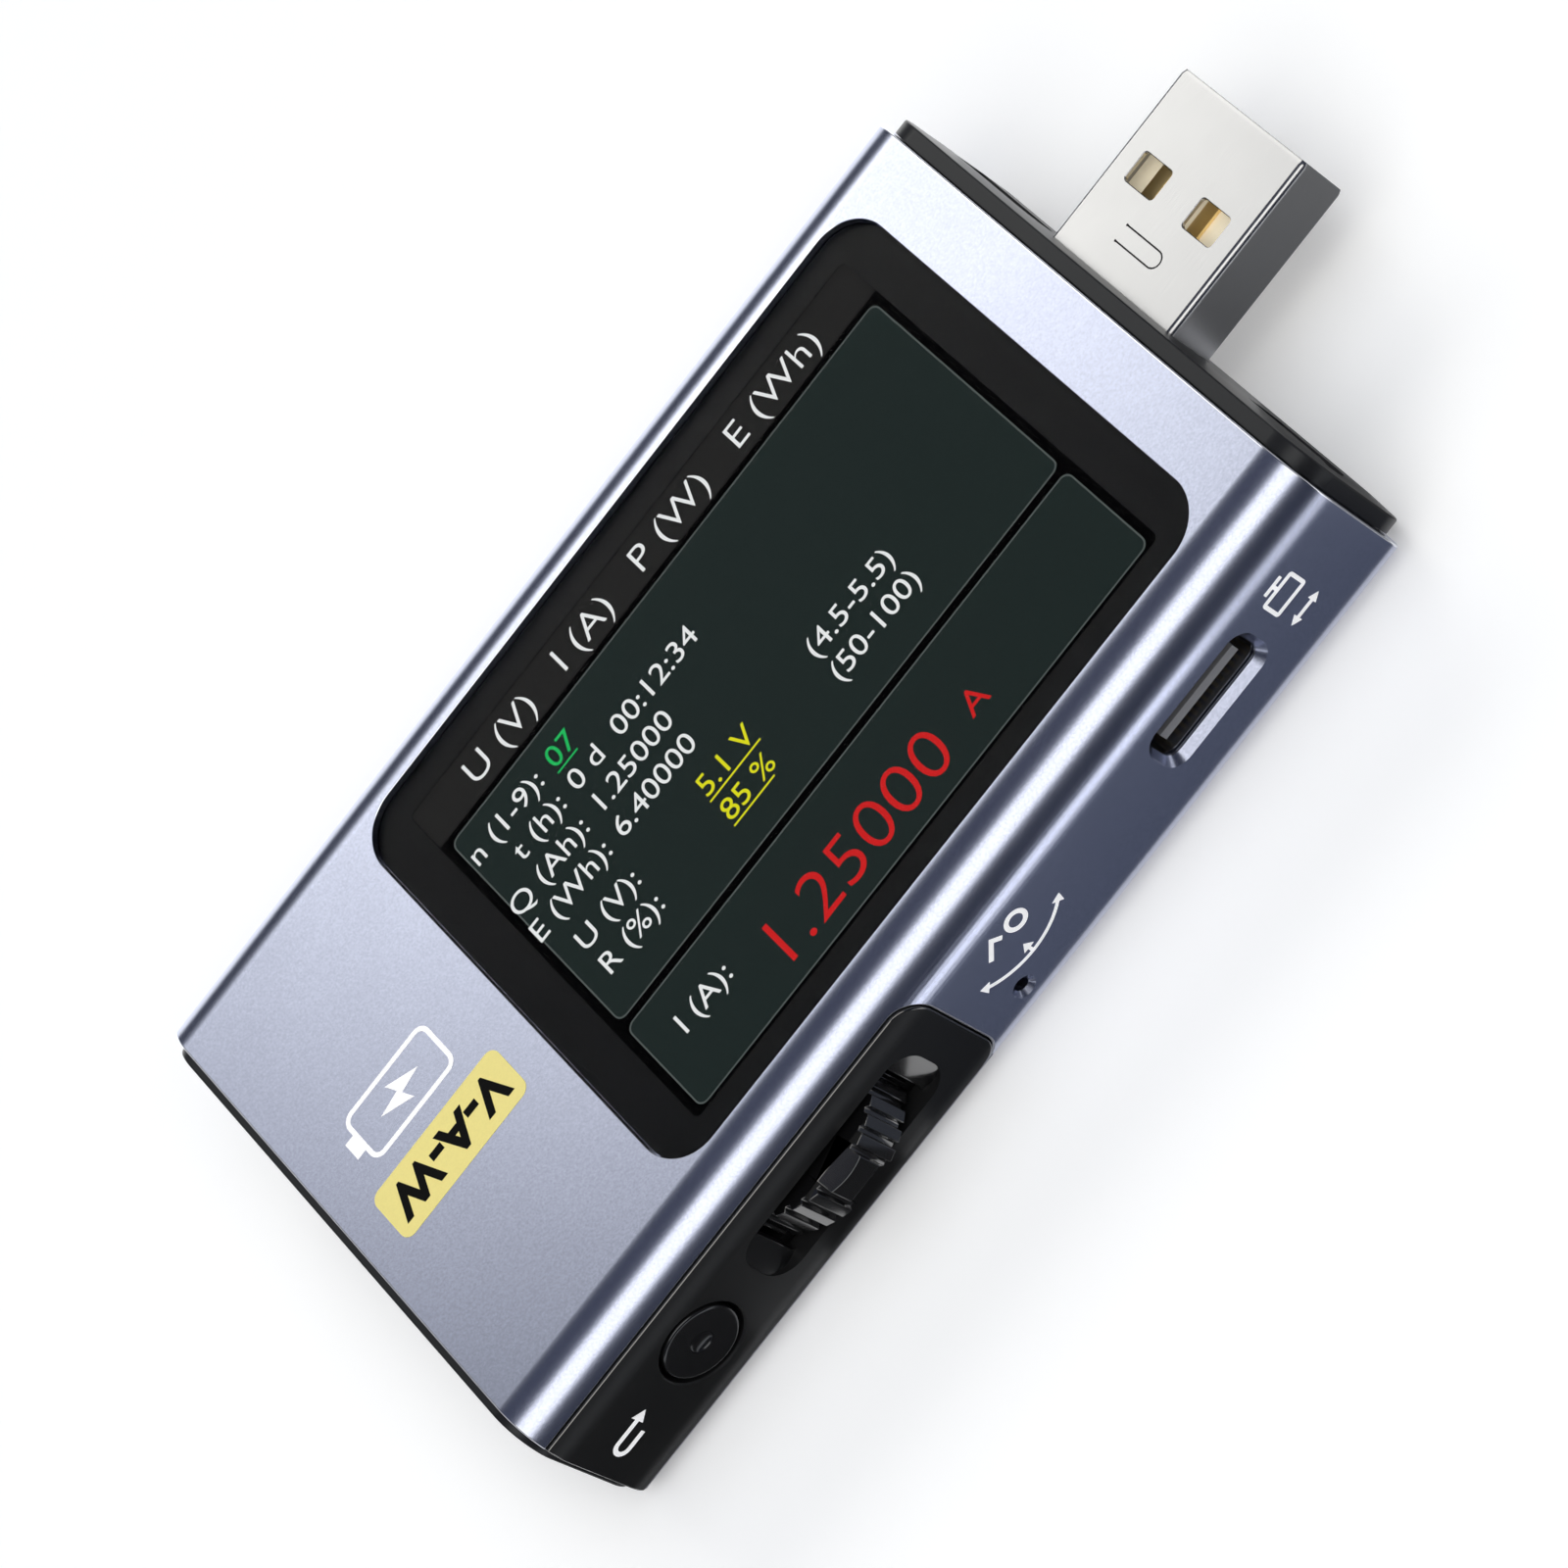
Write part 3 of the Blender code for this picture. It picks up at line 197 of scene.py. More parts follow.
def dress(piece, body, nodes=()):
    piece.data.shade_smooth()
    piece.data.set_sharp_from_angle(angle=radians(40))
    level = piece.modifiers.new("levelFaces", 'WEIGHTED_NORMAL')
    level.keep_sharp = True
    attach(piece, body)
    if nodes:
        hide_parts(*nodes)


def layPrint(name, shape, finish):
    piece = addObject(name, shape, [finishes[finish]])
    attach(piece, "case")


def ribbon(shape, points, width, low, high, axes, closed=False):
    # flat stroke of one width along points, mitred at its corners
    count = len(points)
    rings = []
    for k, (a, b) in enumerate(points):
        here = Vector((a, b))
        before = Vector(points[k - 1]) if closed or k else here
        after = Vector(points[(k + 1) % count]) if closed or k < count - 1 else here
        arriving = (here - before).normalized() if before != here else (after - here).normalized()
        leaving = (after - here).normalized() if after != here else arriving
        middle = (arriving + leaving).normalized()
        across = Vector((-middle.y, middle.x)) * width / 2 / max(middle.dot(arriving), 0.35)
        left, right = here + across, here - across
        corners = ((left, low), (right, low), (right, high), (left, high))
        rings.append([shape.verts.new(axes @ Vector((p.x, p.y, d))) for p, d in corners])
    pairs = list(zip(rings, rings[1:])) + ([(rings[-1], rings[0])] if closed else [])
    for first, second in pairs:
        for k in range(4):
            shape.faces.new((first[k - 1], first[k], second[k], second[k - 1]))
    if not closed:
        shape.faces.new(rings[0])
        shape.faces.new(rings[-1])


def plate(shape, outline, low, high, axes):
    loops = []
    for distance in (low, high):
        loops.append([shape.verts.new(axes @ Vector((a, b, distance))) for a, b in outline])
    for k in range(len(outline)):
        shape.faces.new((loops[0][k - 1], loops[0][k], loops[1][k], loops[1][k - 1]))
    shape.faces.new(loops[0])
    shape.faces.new(loops[1])


fontCapShare = 0.682  # cap height of the built-in font, as a share of its size


def lettering(shape, words, capHeight, place, axes, depth, align='LEFT', weight=0.0, stretch=1.0):
    curve = bpy.data.curves.new("words", 'FONT')
    curve.body = words
    curve.align_x = align
    curve.size = capHeight / fontCapShare
    curve.offset = weight
    curve.extrude = depth / 2
    curve.resolution_u = 5
    holder = bpy.data.objects.new("words", curve)
    bpy.context.scene.collection.objects.link(holder)
    bpy.context.view_layer.update()
    graph = bpy.context.evaluated_depsgraph_get()
    mesh = bpy.data.meshes.new_from_object(holder.evaluated_get(graph))
    mesh.transform(axes @ Matrix.Translation(Vector(place)) @ Matrix.Diagonal((stretch, 1.0, 1.0, 1.0)))
    shape.from_mesh(mesh)
    bpy.data.objects.remove(holder)
    bpy.data.meshes.remove(mesh)


# shared effects, each a node group with named inputs and outputs
def newGroup(name, inputs, outputs):
    group = bpy.data.node_groups.new(name, 'ShaderNodeTree')
    for label, value in inputs:
        socket = group.interface.new_socket(label, in_out='INPUT', socket_type='NodeSocketFloat')
        socket.default_value = value
    for label in outputs:
        group.interface.new_socket(label, in_out='OUTPUT', socket_type='NodeSocketFloat')
    return group, group.nodes.new('NodeGroupInput'), group.nodes.new('NodeGroupOutput')


def addNode(tree, kind, links=None, **settings):
    node = tree.nodes.new(kind)
    for label, value in settings.items():
        setattr(node, label, value)
    for socket, source in (links or {}).items():
        if isinstance(source, bpy.types.NodeSocket):
            tree.links.new(source, node.inputs[socket])
        else:
            node.inputs[socket].default_value = source
    return node


def maths(tree, operation, *values):
    return addNode(tree, 'ShaderNodeMath', dict(enumerate(values)), operation=operation).outputs[0]


def noise(tree, where, scale, detail, roughness):
    links = {"Vector": where, "Scale": scale, "Detail": detail, "Roughness": roughness}
    return addNode(tree, 'ShaderNodeTexNoise', links).outputs["Fac"]


def grainGroup():
    # fine blasted or moulded grain: a height for bump, a speckle and a slow drift of shade
    group, given, out = newGroup(
        "fineGrain", [("Size", 0.1 * mm), ("Speckle", 0.0), ("Drift", 0.1)], ["Height", "Shade"])
    where = addNode(group, 'ShaderNodeTexCoord').outputs["Object"]
    scale = maths(group, 'DIVIDE', 1.0, given.outputs["Size"])
    speck = noise(group, where, scale, 2.0, 0.6)
    slow = noise(group, where, 90.0, 3.0, 0.5)
    shade = 1.0
    for source, amount in ((slow, "Drift"), (speck, "Speckle")):
        swing = maths(group, 'SUBTRACT', source, 0.5)
        shade = maths(group, 'MULTIPLY_ADD', swing, given.outputs[amount], shade)
    group.links.new(speck, out.inputs["Height"])
    group.links.new(shade, out.inputs["Shade"])
    return group


def drawnGroup():
    # lines left by rolling or drawing, along X
    group, given, out = newGroup(
        "drawnLines", [("Spacing", 0.1 * mm), ("Length", 40.0)], ["Height", "Shade"])
    where = addNode(group, 'ShaderNodeTexCoord').outputs["Object"]
    parts = addNode(group, 'ShaderNodeSeparateXYZ', {0: where})
    short = maths(group, 'DIVIDE', parts.outputs["X"], given.outputs["Length"])
    joined = addNode(
        group, 'ShaderNodeCombineXYZ', {"X": short, "Y": parts.outputs["Y"], "Z": parts.outputs["Z"]})
    scale = maths(group, 'DIVIDE', 1.0, given.outputs["Spacing"])
    lines = noise(group, joined.outputs[0], scale, 3.0, 0.55)
    shade = addNode(group, 'ShaderNodeMapRange', {"Value": lines, 3: 0.94, 4: 1.06})
    group.links.new(lines, out.inputs["Height"])
    group.links.new(shade.outputs[0], out.inputs["Shade"])
    return group


def handlingGroup():
    # soft patches where fingers have polished or dulled a surface
    group, given, out = newGroup("handling", [("Roughness", 0.3), ("Swing", 0.06)], ["Roughness"])
    where = addNode(group, 'ShaderNodeTexCoord').outputs["Object"]
    swing = maths(group, 'SUBTRACT', noise(group, where, 160.0, 4.0, 0.6), 0.5)
    rough = maths(group, 'MULTIPLY_ADD', swing, given.outputs["Swing"], given.outputs["Roughness"])
    group.links.new(rough, out.inputs["Roughness"])
    return group


def pixelGroup():
    # rows and columns of a lit display
    group, given, out = newGroup("pixelGrid", [("Pitch", 0.134 * mm), ("Depth", 0.12)], ["Light"])
    where = addNode(group, 'ShaderNodeTexCoord').outputs["Object"]
    scale = maths(group, 'DIVIDE', pi, given.outputs["Pitch"])
    parts = addNode(group, 'ShaderNodeSeparateXYZ', {0: where})
    waves = []
    for axis in ("X", "Y"):
        wave = maths(group, 'COSINE', maths(group, 'MULTIPLY', parts.outputs[axis], scale))
        waves.append(maths(group, 'POWER', wave, 2.0))
    dark = maths(group, 'MULTIPLY', maths(group, 'MAXIMUM', *waves), given.outputs["Depth"])
    group.links.new(maths(group, 'SUBTRACT', 1.0, dark), out.inputs["Light"])
    return group


fineGrain = grainGroup()
drawnLines = drawnGroup()
handling = handlingGroup()
pixelGrid = pixelGroup()


def useGroup(tree, group, **values):
    node = tree.nodes.new('ShaderNodeGroup')
    node.node_tree = group
    for label, value in values.items():
        node.inputs[label].default_value = value
    return node


def newMaterial(name):
    material = bpy.data.materials.new(name)
    material.use_nodes = True
    tree = material.node_tree
    return material, tree, tree.nodes["Principled BSDF"]


def setInputs(shader, values):
    for label, value in values.items():
        shader.inputs[label].default_value = (*value, 1.0) if isinstance(value, tuple) else value


def bump(tree, shader, height, distance):
    node = addNode(tree, 'ShaderNodeBump', {"Height": height, "Distance": distance, "Strength": 1.0})
    tree.links.new(node.outputs["Normal"], shader.inputs["Normal"])


def mixColour(tree, colour, shade, shader, socket="Base Color"):
    mixed = tree.nodes.new('ShaderNodeMix')
    mixed.data_type = 'RGBA'
    mixed.blend_type = 'MULTIPLY'
    mixed.inputs[0].default_value = 1.0
    mixed.inputs[6].default_value = (*colour, 1.0)
    tree.links.new(shade, mixed.inputs[7])
    tree.links.new(mixed.outputs[2], shader.inputs[socket])


def grainyFinish(name, look):
    # plastics, blasted metal, boards: fine grain, slow shade drift, handled roughness, and a painted glow where a
    # look sets one
    material, tree, shader = newMaterial(name)
    grain = useGroup(tree, fineGrain, Size=look["grain"], Speckle=look.get("speckle", 0.1),
                     Drift=look.get("drift", 0.1))
    handled = useGroup(tree, handling, Roughness=look["roughness"], Swing=look.get("swing", 0.06))
    mixColour(tree, look["colour"], grain.outputs["Shade"], shader)
    tree.links.new(handled.outputs["Roughness"], shader.inputs["Roughness"])
    setInputs(shader, {
        "Metallic": look.get("metallic", 0.0), "Specular IOR Level": look.get("specular", 0.5),
        "IOR": look.get("index", 1.5), "Specular Tint": look.get("tint", (1.0, 1.0, 1.0)),
        "Coat Weight": look.get("coat", 0.0), "Coat Roughness": 0.1,
        # a look's glow is painted light: emission in the surface's own colour on a thing that is no lamp
        "Emission Color": look["colour"], "Emission Strength": look.get("glow", 0.0),
    })
    bump(tree, shader, grain.outputs["Height"], look["depth"])
    return material


def drawnFinish(name, look):
    # rolled or plated sheet metal
    material, tree, shader = newMaterial(name)
    lines = useGroup(tree, drawnLines, Spacing=look["spacing"], Length=look.get("length", 40.0))
    handled = useGroup(tree, handling, Roughness=look["roughness"], Swing=look.get("swing", 0.06))
    mixColour(tree, look["colour"], lines.outputs["Shade"], shader)
    tree.links.new(handled.outputs["Roughness"], shader.inputs["Roughness"])
    shader.inputs["Metallic"].default_value = 1.0
    bump(tree, shader, lines.outputs["Height"], look["depth"])
    return material


def litFinish(name, colour):
    # lit part of the display, with its pixels
    material, tree, shader = newMaterial(name)
    setInputs(shader, {
        "Base Color": (0.0, 0.0, 0.0), "Roughness": 0.6, "Specular IOR Level": 0.0,
        "Emission Strength": 1.0})
    pixels = useGroup(tree, pixelGrid, Depth=0.12)
    mixColour(tree, colour, pixels.outputs["Light"], shader, "Emission Color")
    return material


def clearFinish(name):
    material, tree, shader = newMaterial(name)
    setInputs(shader, {"Base Color": (1.0, 1.0, 1.0), "Transmission Weight": 1.0, "IOR": 1.04})
    handled = useGroup(tree, handling, Roughness=0.04, Swing=0.03)
    tree.links.new(handled.outputs["Roughness"], shader.inputs["Roughness"])
    return material


coolGloss = (0.90, 0.94, 1.0)  # tint of the gloss on black pieces
looks = {
    "anodised": {
        "colour": (0.44, 0.47, 0.60), "roughness": 0.25, "grain": 0.17 * mm, "depth": 0.0015 * mm,
        "speckle": 0.36, "drift": 0.06, "swing": 0.04, "metallic": 1.0,
    },
    "machined": {
        "colour": (0.74, 0.76, 0.83), "roughness": 0.20, "grain": 0.08 * mm, "depth": 0.001 * mm,
        "metallic": 1.0,
    },
    "rawEdge": {
        "colour": (0.78, 0.80, 0.86), "roughness": 0.55, "grain": 0.08 * mm, "depth": 0.001 * mm,
        "metallic": 1.0,
    },
    "blackPlastic": {
        "colour": (0.009, 0.009, 0.0095), "roughness": 0.40, "grain": 0.14 * mm, "depth": 0.003 * mm,
        "specular": 0.2, "tint": coolGloss,
    },
    "capPlastic": {
        "colour": (0.012, 0.012, 0.0135), "roughness": 0.34, "grain": 0.14 * mm, "depth": 0.002 * mm,
        "specular": 0.27, "tint": coolGloss,
    },
    "buttonPlastic": {
        "colour": (0.0075, 0.0075, 0.008), "roughness": 0.22, "grain": 0.14 * mm, "depth": 0.001 * mm,
        "specular": 0.58, "tint": coolGloss,
    },
    "wheelPlastic": {
        "colour": (0.005, 0.005, 0.0055), "roughness": 0.16, "grain": 0.2 * mm, "depth": 0.001 * mm,
        "specular": 0.8, "index": 1.65, "coat": 0.9,
    },
    "palePlastic": {
        "colour": (0.70, 0.66, 0.55), "roughness": 0.5, "grain": 0.2 * mm, "depth": 0.004 * mm,
    },
    "greyPlastic": {
        "colour": (0.24, 0.24, 0.25), "roughness": 0.35, "grain": 0.2 * mm, "depth": 0.003 * mm,
    },
    "amberPlastic": {
        "colour": (0.95, 0.84, 0.60), "roughness": 0.42, "grain": 0.2 * mm, "depth": 0.004 * mm,
    },
    # lit copy of amberPlastic for the plug core: a little paler, with a painted glow that lightens it in the shade
    # under the plug shell's windows
    "plugCoreLitCopy": {
        "colour": (0.95, 0.85, 0.64), "roughness": 0.42, "grain": 0.2 * mm, "depth": 0.004 * mm,
        "glow": 0.24,
    },
    "solderMask": {
        "colour": (0.01, 0.09, 0.03), "roughness": 0.38, "grain": 0.3 * mm, "depth": 0.004 * mm,
    },
    "chipEpoxy": {"colour": (0.02, 0.02, 0.022), "roughness": 0.6, "grain": 0.1 * mm, "depth": 0.006 * mm},
    "ferrite": {"colour": (0.06, 0.06, 0.065), "roughness": 0.7, "grain": 0.15 * mm, "depth": 0.01 * mm},
    "foam": {"colour": (0.02, 0.02, 0.02), "roughness": 0.9, "grain": 0.25 * mm, "depth": 0.02 * mm},
    "flexFilm": {"colour": (0.30, 0.14, 0.03), "roughness": 0.45, "grain": 0.3 * mm, "depth": 0.003 * mm},
    "displayFrame": {
        "colour": (0.30, 0.31, 0.32), "roughness": 0.45, "grain": 0.2 * mm, "depth": 0.004 * mm,
        "metallic": 0.6,
    },
    "blackPrint": {
        "colour": (0.0012, 0.0013, 0.0018), "roughness": 0.33, "grain": 0.3 * mm, "depth": 0.0005 * mm,
        "specular": 0.085, "tint": coolGloss,
    },
    # white ink with a painted glow: its emission lightens the signs beyond what the lamps give
    "whiteInkPaintedGlow": {
        "colour": (0.92, 0.92, 0.93), "roughness": 0.55, "grain": 0.12 * mm, "depth": 0.002 * mm,
        "drift": 0.05, "specular": 0.2, "glow": 0.22,
    },
    "yellowInk": {
        "colour": (0.92, 0.80, 0.29), "roughness": 0.5, "grain": 0.14 * mm, "depth": 0.002 * mm,
        "drift": 0.05, "specular": 0.2,
    },
    "blackInk": {
        "colour": (0.004, 0.004, 0.004), "roughness": 0.6, "grain": 0.14 * mm, "depth": 0.002 * mm,
        "specular": 0.08,
    },
}
finishes = {name: grainyFinish(name, look) for name, look in looks.items()}
drawnLooks = {
    "plated": {
        "colour": (0.42, 0.424, 0.442), "roughness": 0.24, "spacing": 0.05 * mm, "depth": 0.0008 * mm,
    },
    "gold": {"colour": (0.93, 0.72, 0.36), "roughness": 0.34, "spacing": 0.05 * mm, "depth": 0.001 * mm},
}
for name, look in drawnLooks.items():
    finishes[name] = drawnFinish(name, look)
finishes["clearGlass"] = clearFinish("clearGlass")
litColours = {
    "litBlack": (0.0008, 0.0008, 0.0010), "litBar": (0.0175, 0.0175, 0.0175),
    "litPanel": (0.0144, 0.0222, 0.0212), "litRim": (0.095, 0.112, 0.108), "litWhite": (0.84, 0.86, 0.86),
    "litGreen": (0.016, 0.50, 0.11), "litYellow": (0.74, 0.74, 0.016), "litRed": (0.60, 0.017, 0.018),
}
for name, colour in litColours.items():
    finishes[name] = litFinish(name, colour)
print("finishes: %d" % len(finishes))


# aluminium sleeve
sleeve = {
    "cornerRadius": 3.7 * mm, "wall": 1.4 * mm, "edge": 0.13 * mm, "glassGap": 0.02 * mm,
    "recessEdge": 0.03 * mm, "recessDepth": 0.95 * mm, "ledge": 1.5 * mm, "windowCorner": 1.65 * mm,
    "notchMargin": 1.85 * mm, "notchCorner": 2.0 * mm, "notchLength": 34.1 * mm, "mouthWidth": 8.15 * mm,
    "mouthHeight": 2.95 * mm, "mouthCorner": 0.9 * mm, "mouthChamfer": 0.54 * mm, "mouthSpread": 0.9,
    "mouthSkin": 0.7 * mm, "reliefGap": 0.3 * mm, "pinholeRadius": 0.5 * mm, "pinholeChamfer": 0.32 * mm,
}
panelEndX = sleeve["notchLength"] - endX
portLow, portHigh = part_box("side_port_shell")
portX = (portLow.x + portHigh.x) / 2
portZ = (portLow.z + portHigh.z) / 2
resetLow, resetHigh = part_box("reset_switch_plunger")
pinhole = ((resetLow.x + resetHigh.x) / 2, (resetLow.z + resetHigh.z) / 2)


def glassOutline(grow):
    radius = display["glassCorner"] + grow
    return rounded(glassLength + 2 * grow, glassWidth + 2 * grow, radius, (glassX, 0.0))


def mouthOutline(grow):
    width = sleeve["mouthWidth"] + 2 * grow
    height = sleeve["mouthHeight"] + 2 * grow
    return rounded(width, height, sleeve["mouthCorner"] + grow, (portX, portZ))


def panelOutline(gap, nearX):
    lowZ = sleeve["notchMargin"] + gap
    highZ = topZ - sleeve["notchMargin"] - gap
    farX = panelEndX - gap
    radius = sleeve["notchCorner"] - gap
    points = [(nearX, highZ), (nearX, lowZ)]
    for cornerZ, first in ((lowZ + radius, -pi / 2), (highZ - radius, 0.0)):
        for step in range(arcSteps + 1):
            angle = first + step / arcSteps * pi / 2
            points.append((farX - radius + radius * cos(angle), cornerZ + radius * sin(angle)))
    return points


def notchWedge(path):
    # three-sided wedge along the rim of the notch, for its chamfer
    size = sleeve["edge"]
    radius = sleeve["cornerRadius"]
    loops = []
    for index, (x, z) in enumerate(path):
        before = Vector(path[max(index - 1, 0)])
        after = Vector(path[min(index + 1, len(path) - 1)])
        along = (after - before).normalized()
        away = Vector((along.y, 0.0, -along.x))
        rise = max(z - topZ + radius, 0.0) - max(radius - z, 0.0)
        out = Vector((0.0, -sqrt(radius ** 2 - rise ** 2), rise)).normalized()
        corner = Vector((x, out.y * radius - halfWidth + radius, z))
        level = (away - away.dot(out) * out).normalized()
        loops.append([corner + size * (level + 0.05 * out), corner + size * Vector((0.0, 1.0, 0.0)),
                      corner + size * (out - away)])
    return loops


def makeSleeve():
    coats = (finishes["anodised"], finishes["machined"], finishes["rawEdge"])
    ends = roundedEnds(sleeveOutline, -endX, endX, sleeve["edge"])
    tube = loft("sleeve", ends, alongX, coats, (1, 1, 1, 0, 1, 1, 1))
    pastEnd = endX + mm
    pastSide = halfWidth + mm
    innerSide = halfWidth - sleeve["wall"] - mm
    notch = panelOutline(0.0, -pastEnd)
    rim = skin("notchRim", notchWedge(notch[1:] + notch[:1]), coats, [2] * (len(notch) - 1))
    recess = chamferedCut(
        lambda grow: glassOutline(sleeve["glassGap"] + grow), topZ - sleeve["recessDepth"], topZ,
        sleeve["recessEdge"])
    windowLength = glassLength - 2 * sleeve["ledge"]
    windowWidth = glassWidth - 2 * sleeve["ledge"]
    window = rounded(windowLength, windowWidth, sleeve["windowCorner"], (glassX, 0.0))
    gap = sleeve["reliefGap"]
    relief = rectangle(portLow.x - gap, portHigh.x + gap, portLow.z - gap, portHigh.z + gap)
    mouth = chamferedCut(mouthOutline, innerSide, halfWidth, sleeve["mouthChamfer"], sleeve["mouthSpread"])
    hole = chamferedCut(
        lambda grow: circle(sleeve["pinholeRadius"] + grow, pinhole), innerSide, halfWidth,
        sleeve["pinholeChamfer"])
    combine(tube, [
        prism("notch", notch, halfWidth - sleeve["cornerRadius"], pastSide, toSide, coats), rim,
        prism("bore", sleeveOutline(sleeve["wall"]), -pastEnd, pastEnd, alongX, coats),
        loft("recess", recess, alongZ, coats, (0, 1)),
        prism("window", window, topZ - sleeve["wall"] - mm, topZ, alongZ, coats),
        loft("mouth", mouth, toSide, coats),
        prism("relief", relief, innerSide, halfWidth - sleeve["mouthSkin"], toSide, coats),
        loft("pinhole", hole, toSide, coats),
    ])
    dress(tube, "case", ["case_tube"])


# glass, black print behind it and the lit display
display = {
    "glassCorner": 3.3 * mm, "glassEdge": 0.03 * mm, "printDrop": 0.012 * mm, "printThickness": 0.012 * mm,
    "litLength": 42.9 * mm, "litWidth": 32.2 * mm, "litShift": 0.05 * mm, "litCorner": 0.5 * mm,
    "cellThickness": 0.55 * mm, "cellMargin": 0.3 * mm, "cellDrop": 0.07 * mm, "layer": 0.006 * mm,
    "barLow": 12.6 * mm, "barHigh": 16.08 * mm, "panelHalf": 20.82 * mm, "panelShift": 0.06 * mm,
    "upperLow": -7.06 * mm, "upperHigh": 12.12 * mm, "lowerLow": -15.82 * mm, "lowerHigh": -7.65 * mm,
    "panelCorner": 0.6 * mm, "rim": 0.10 * mm, "titleHeight": 1.95 * mm, "titleBase": 13.38 * mm,
    "lineHeight": 1.55 * mm, "labelEnd": -13.8 * mm, "valueStart": -12.94 * mm, "limitStart": 2.76 * mm,
    "settingStart": -7.65 * mm, "underline": 0.13 * mm, "resultHeight": 3.5 * mm,
    "resultBase": -14.47 * mm, "resultStart": -11.9 * mm, "unitStart": 6.6 * mm, "unitBase": -13.7 * mm,
    "unitHeight": 1.75 * mm, "barNear": 0.1 * mm, "barFar": 0.02 * mm, "titleWeight": -0.02 * mm,
    "resultWeight": -0.055 * mm, "currentBase": -11.53 * mm, "letterShare": 0.62, "printInset": 0.05 * mm,
}
lines = (  # label, white value, coloured setting, limits, baseline
    ("n (1-9):", "", ("litGreen", "07", display["valueStart"]), "", 9.18 * mm),
    ("t (h):", "0 d  00:12:34", None, "", 6.65 * mm),
    ("Q (Ah):", "1.25000", None, "", 4.06 * mm),
    ("E (Wh):", "6.40000", None, "", 1.53 * mm),
    ("U (V):", "", ("litYellow", "5.1 V", display["settingStart"]), "(4.5-5.5)", -1.65 * mm),
    ("R (%):", "", ("litYellow", "85 %", display["settingStart"]), "(50-100)", -4.24 * mm),
)


def makeGlass():
    glass = prism("coverGlass", glassOutline(0.0), glassLow.z, topZ, alongZ, [finishes["clearGlass"]])
    soften(glass, display["glassEdge"])
    dress(glass, "case", ["display_glass"])

    printTop = glassLow.z - display["printDrop"]
    printLow = printTop - display["printThickness"]
    border = prism("blackBorder", glassOutline(-display["printInset"]), printLow, printTop, alongZ,
                   [finishes["blackPrint"]])
    centre = (glassX + display["litShift"], 0.0)
    opening = rounded(display["litLength"], display["litWidth"], display["litCorner"], centre)
    combine(border, [prism("opening", opening, printLow - mm, printTop + mm, alongZ)])
    dress(border, "case")

    cellTop = glassLow.z - display["cellDrop"]
    margin = 2 * display["cellMargin"]
    cell = rounded(display["litLength"] + margin, display["litWidth"] + margin, display["litCorner"], centre)
    screen = prism("displayCell", cell, cellTop - display["cellThickness"], cellTop, alongZ,
                   [finishes["litBlack"]])
    dress(screen, "case")
    return cellTop


def makeReadout(cellTop):
    layer = display["layer"]
    half = display["panelHalf"]
    rim = display["rim"]
    places = facing((glassX, 0.0, 0.0), (0, 0, 1), (0, 1, 0))
    shapes = {name: bmesh.new() for name in litColours if name != "litBlack"}
    low = cellTop + 0.2 * layer
    barEnd = display["litLength"] / 2
    bar = rectangle(display["barNear"] - barEnd, display["barFar"] + barEnd,
                    display["barLow"], display["barHigh"])
    plate(shapes["litBar"], bar, low, low + layer, places)
    for kind in ("upper", "lower"):
        lowY = display[kind + "Low"]
        highY = display[kind + "High"]
        middle = (display["panelShift"], (lowY + highY) / 2)
        outline = rounded(2 * half, highY - lowY, display["panelCorner"], middle, 6)
        plate(shapes["litPanel"], outline, low, low + layer, places)
        inner = rounded(2 * half - rim, highY - lowY - rim, display["panelCorner"], middle, 6)
        ribbon(shapes["litRim"], inner, rim, low + 1.2 * layer, low + 2 * layer, places, closed=True)

    textZ = low + 2 * layer

    def write(colour, words, height, startX, base, align='LEFT', weight=0.0):
        lettering(shapes[colour], words, height, (startX, base, textZ), places, layer, align, weight)

    write("litWhite", "U (V)   I (A)   P (W)   E (Wh)", display["titleHeight"], 0.0, display["titleBase"],
          'CENTER', display["titleWeight"])
    height = display["lineHeight"]
    for label, value, setting, limits, base in lines:
        write("litWhite", label, height, display["labelEnd"], base, 'RIGHT')
        if value:
            write("litWhite", value, height, display["valueStart"], base)
        if limits:
            write("litWhite", limits, height, display["limitStart"], base)
        if setting:
            colour, words, startX = setting
            write(colour, words, height, startX, base)
            stroke = display["underline"]
            run = len(words) * height * display["letterShare"]
            under = rectangle(startX, startX + run, base - 3.2 * stroke, base - 2.2 * stroke)
            plate(shapes[colour], under, textZ - layer / 2, textZ + layer / 2, places)
    write("litWhite", "I (A):", height, display["labelEnd"], display["currentBase"], 'RIGHT')
    write("litRed", "1.25000", display["resultHeight"], display["resultStart"], display["resultBase"],
          weight=display["resultWeight"])
    write("litRed", "A", display["unitHeight"], display["unitStart"], display["unitBase"])
    for name, shape in shapes.items():
        layPrint("readout" + name[3:], shape, name)


# end caps
cap = {
    "inset": 0.6 * mm, "sideInset": 1.1 * mm, "corner": 3.1 * mm, "seat": 0.1 * mm, "rimRound": 0.15 * mm,
    "crown": 0.62 * mm, "crownInset": 2.8 * mm, "skirtDepth": 2.4 * mm, "skirtGap": 0.12 * mm,
    "skirtThickness": 0.9 * mm, "floor": 0.6 * mm, "openingGap": 0.15 * mm, "plugProud": 1.15 * mm,
    "socketProud": 0.65 * mm,
}


def boxOutline(node, radius, side, grow=0.0):
    low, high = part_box(node)
    centre = (side * (low.y + high.y) / 2, (low.z + high.z) / 2)
    return rounded(high.y - low.y + 2 * grow, high.z - low.z + 2 * grow, radius + grow, centre, 10)


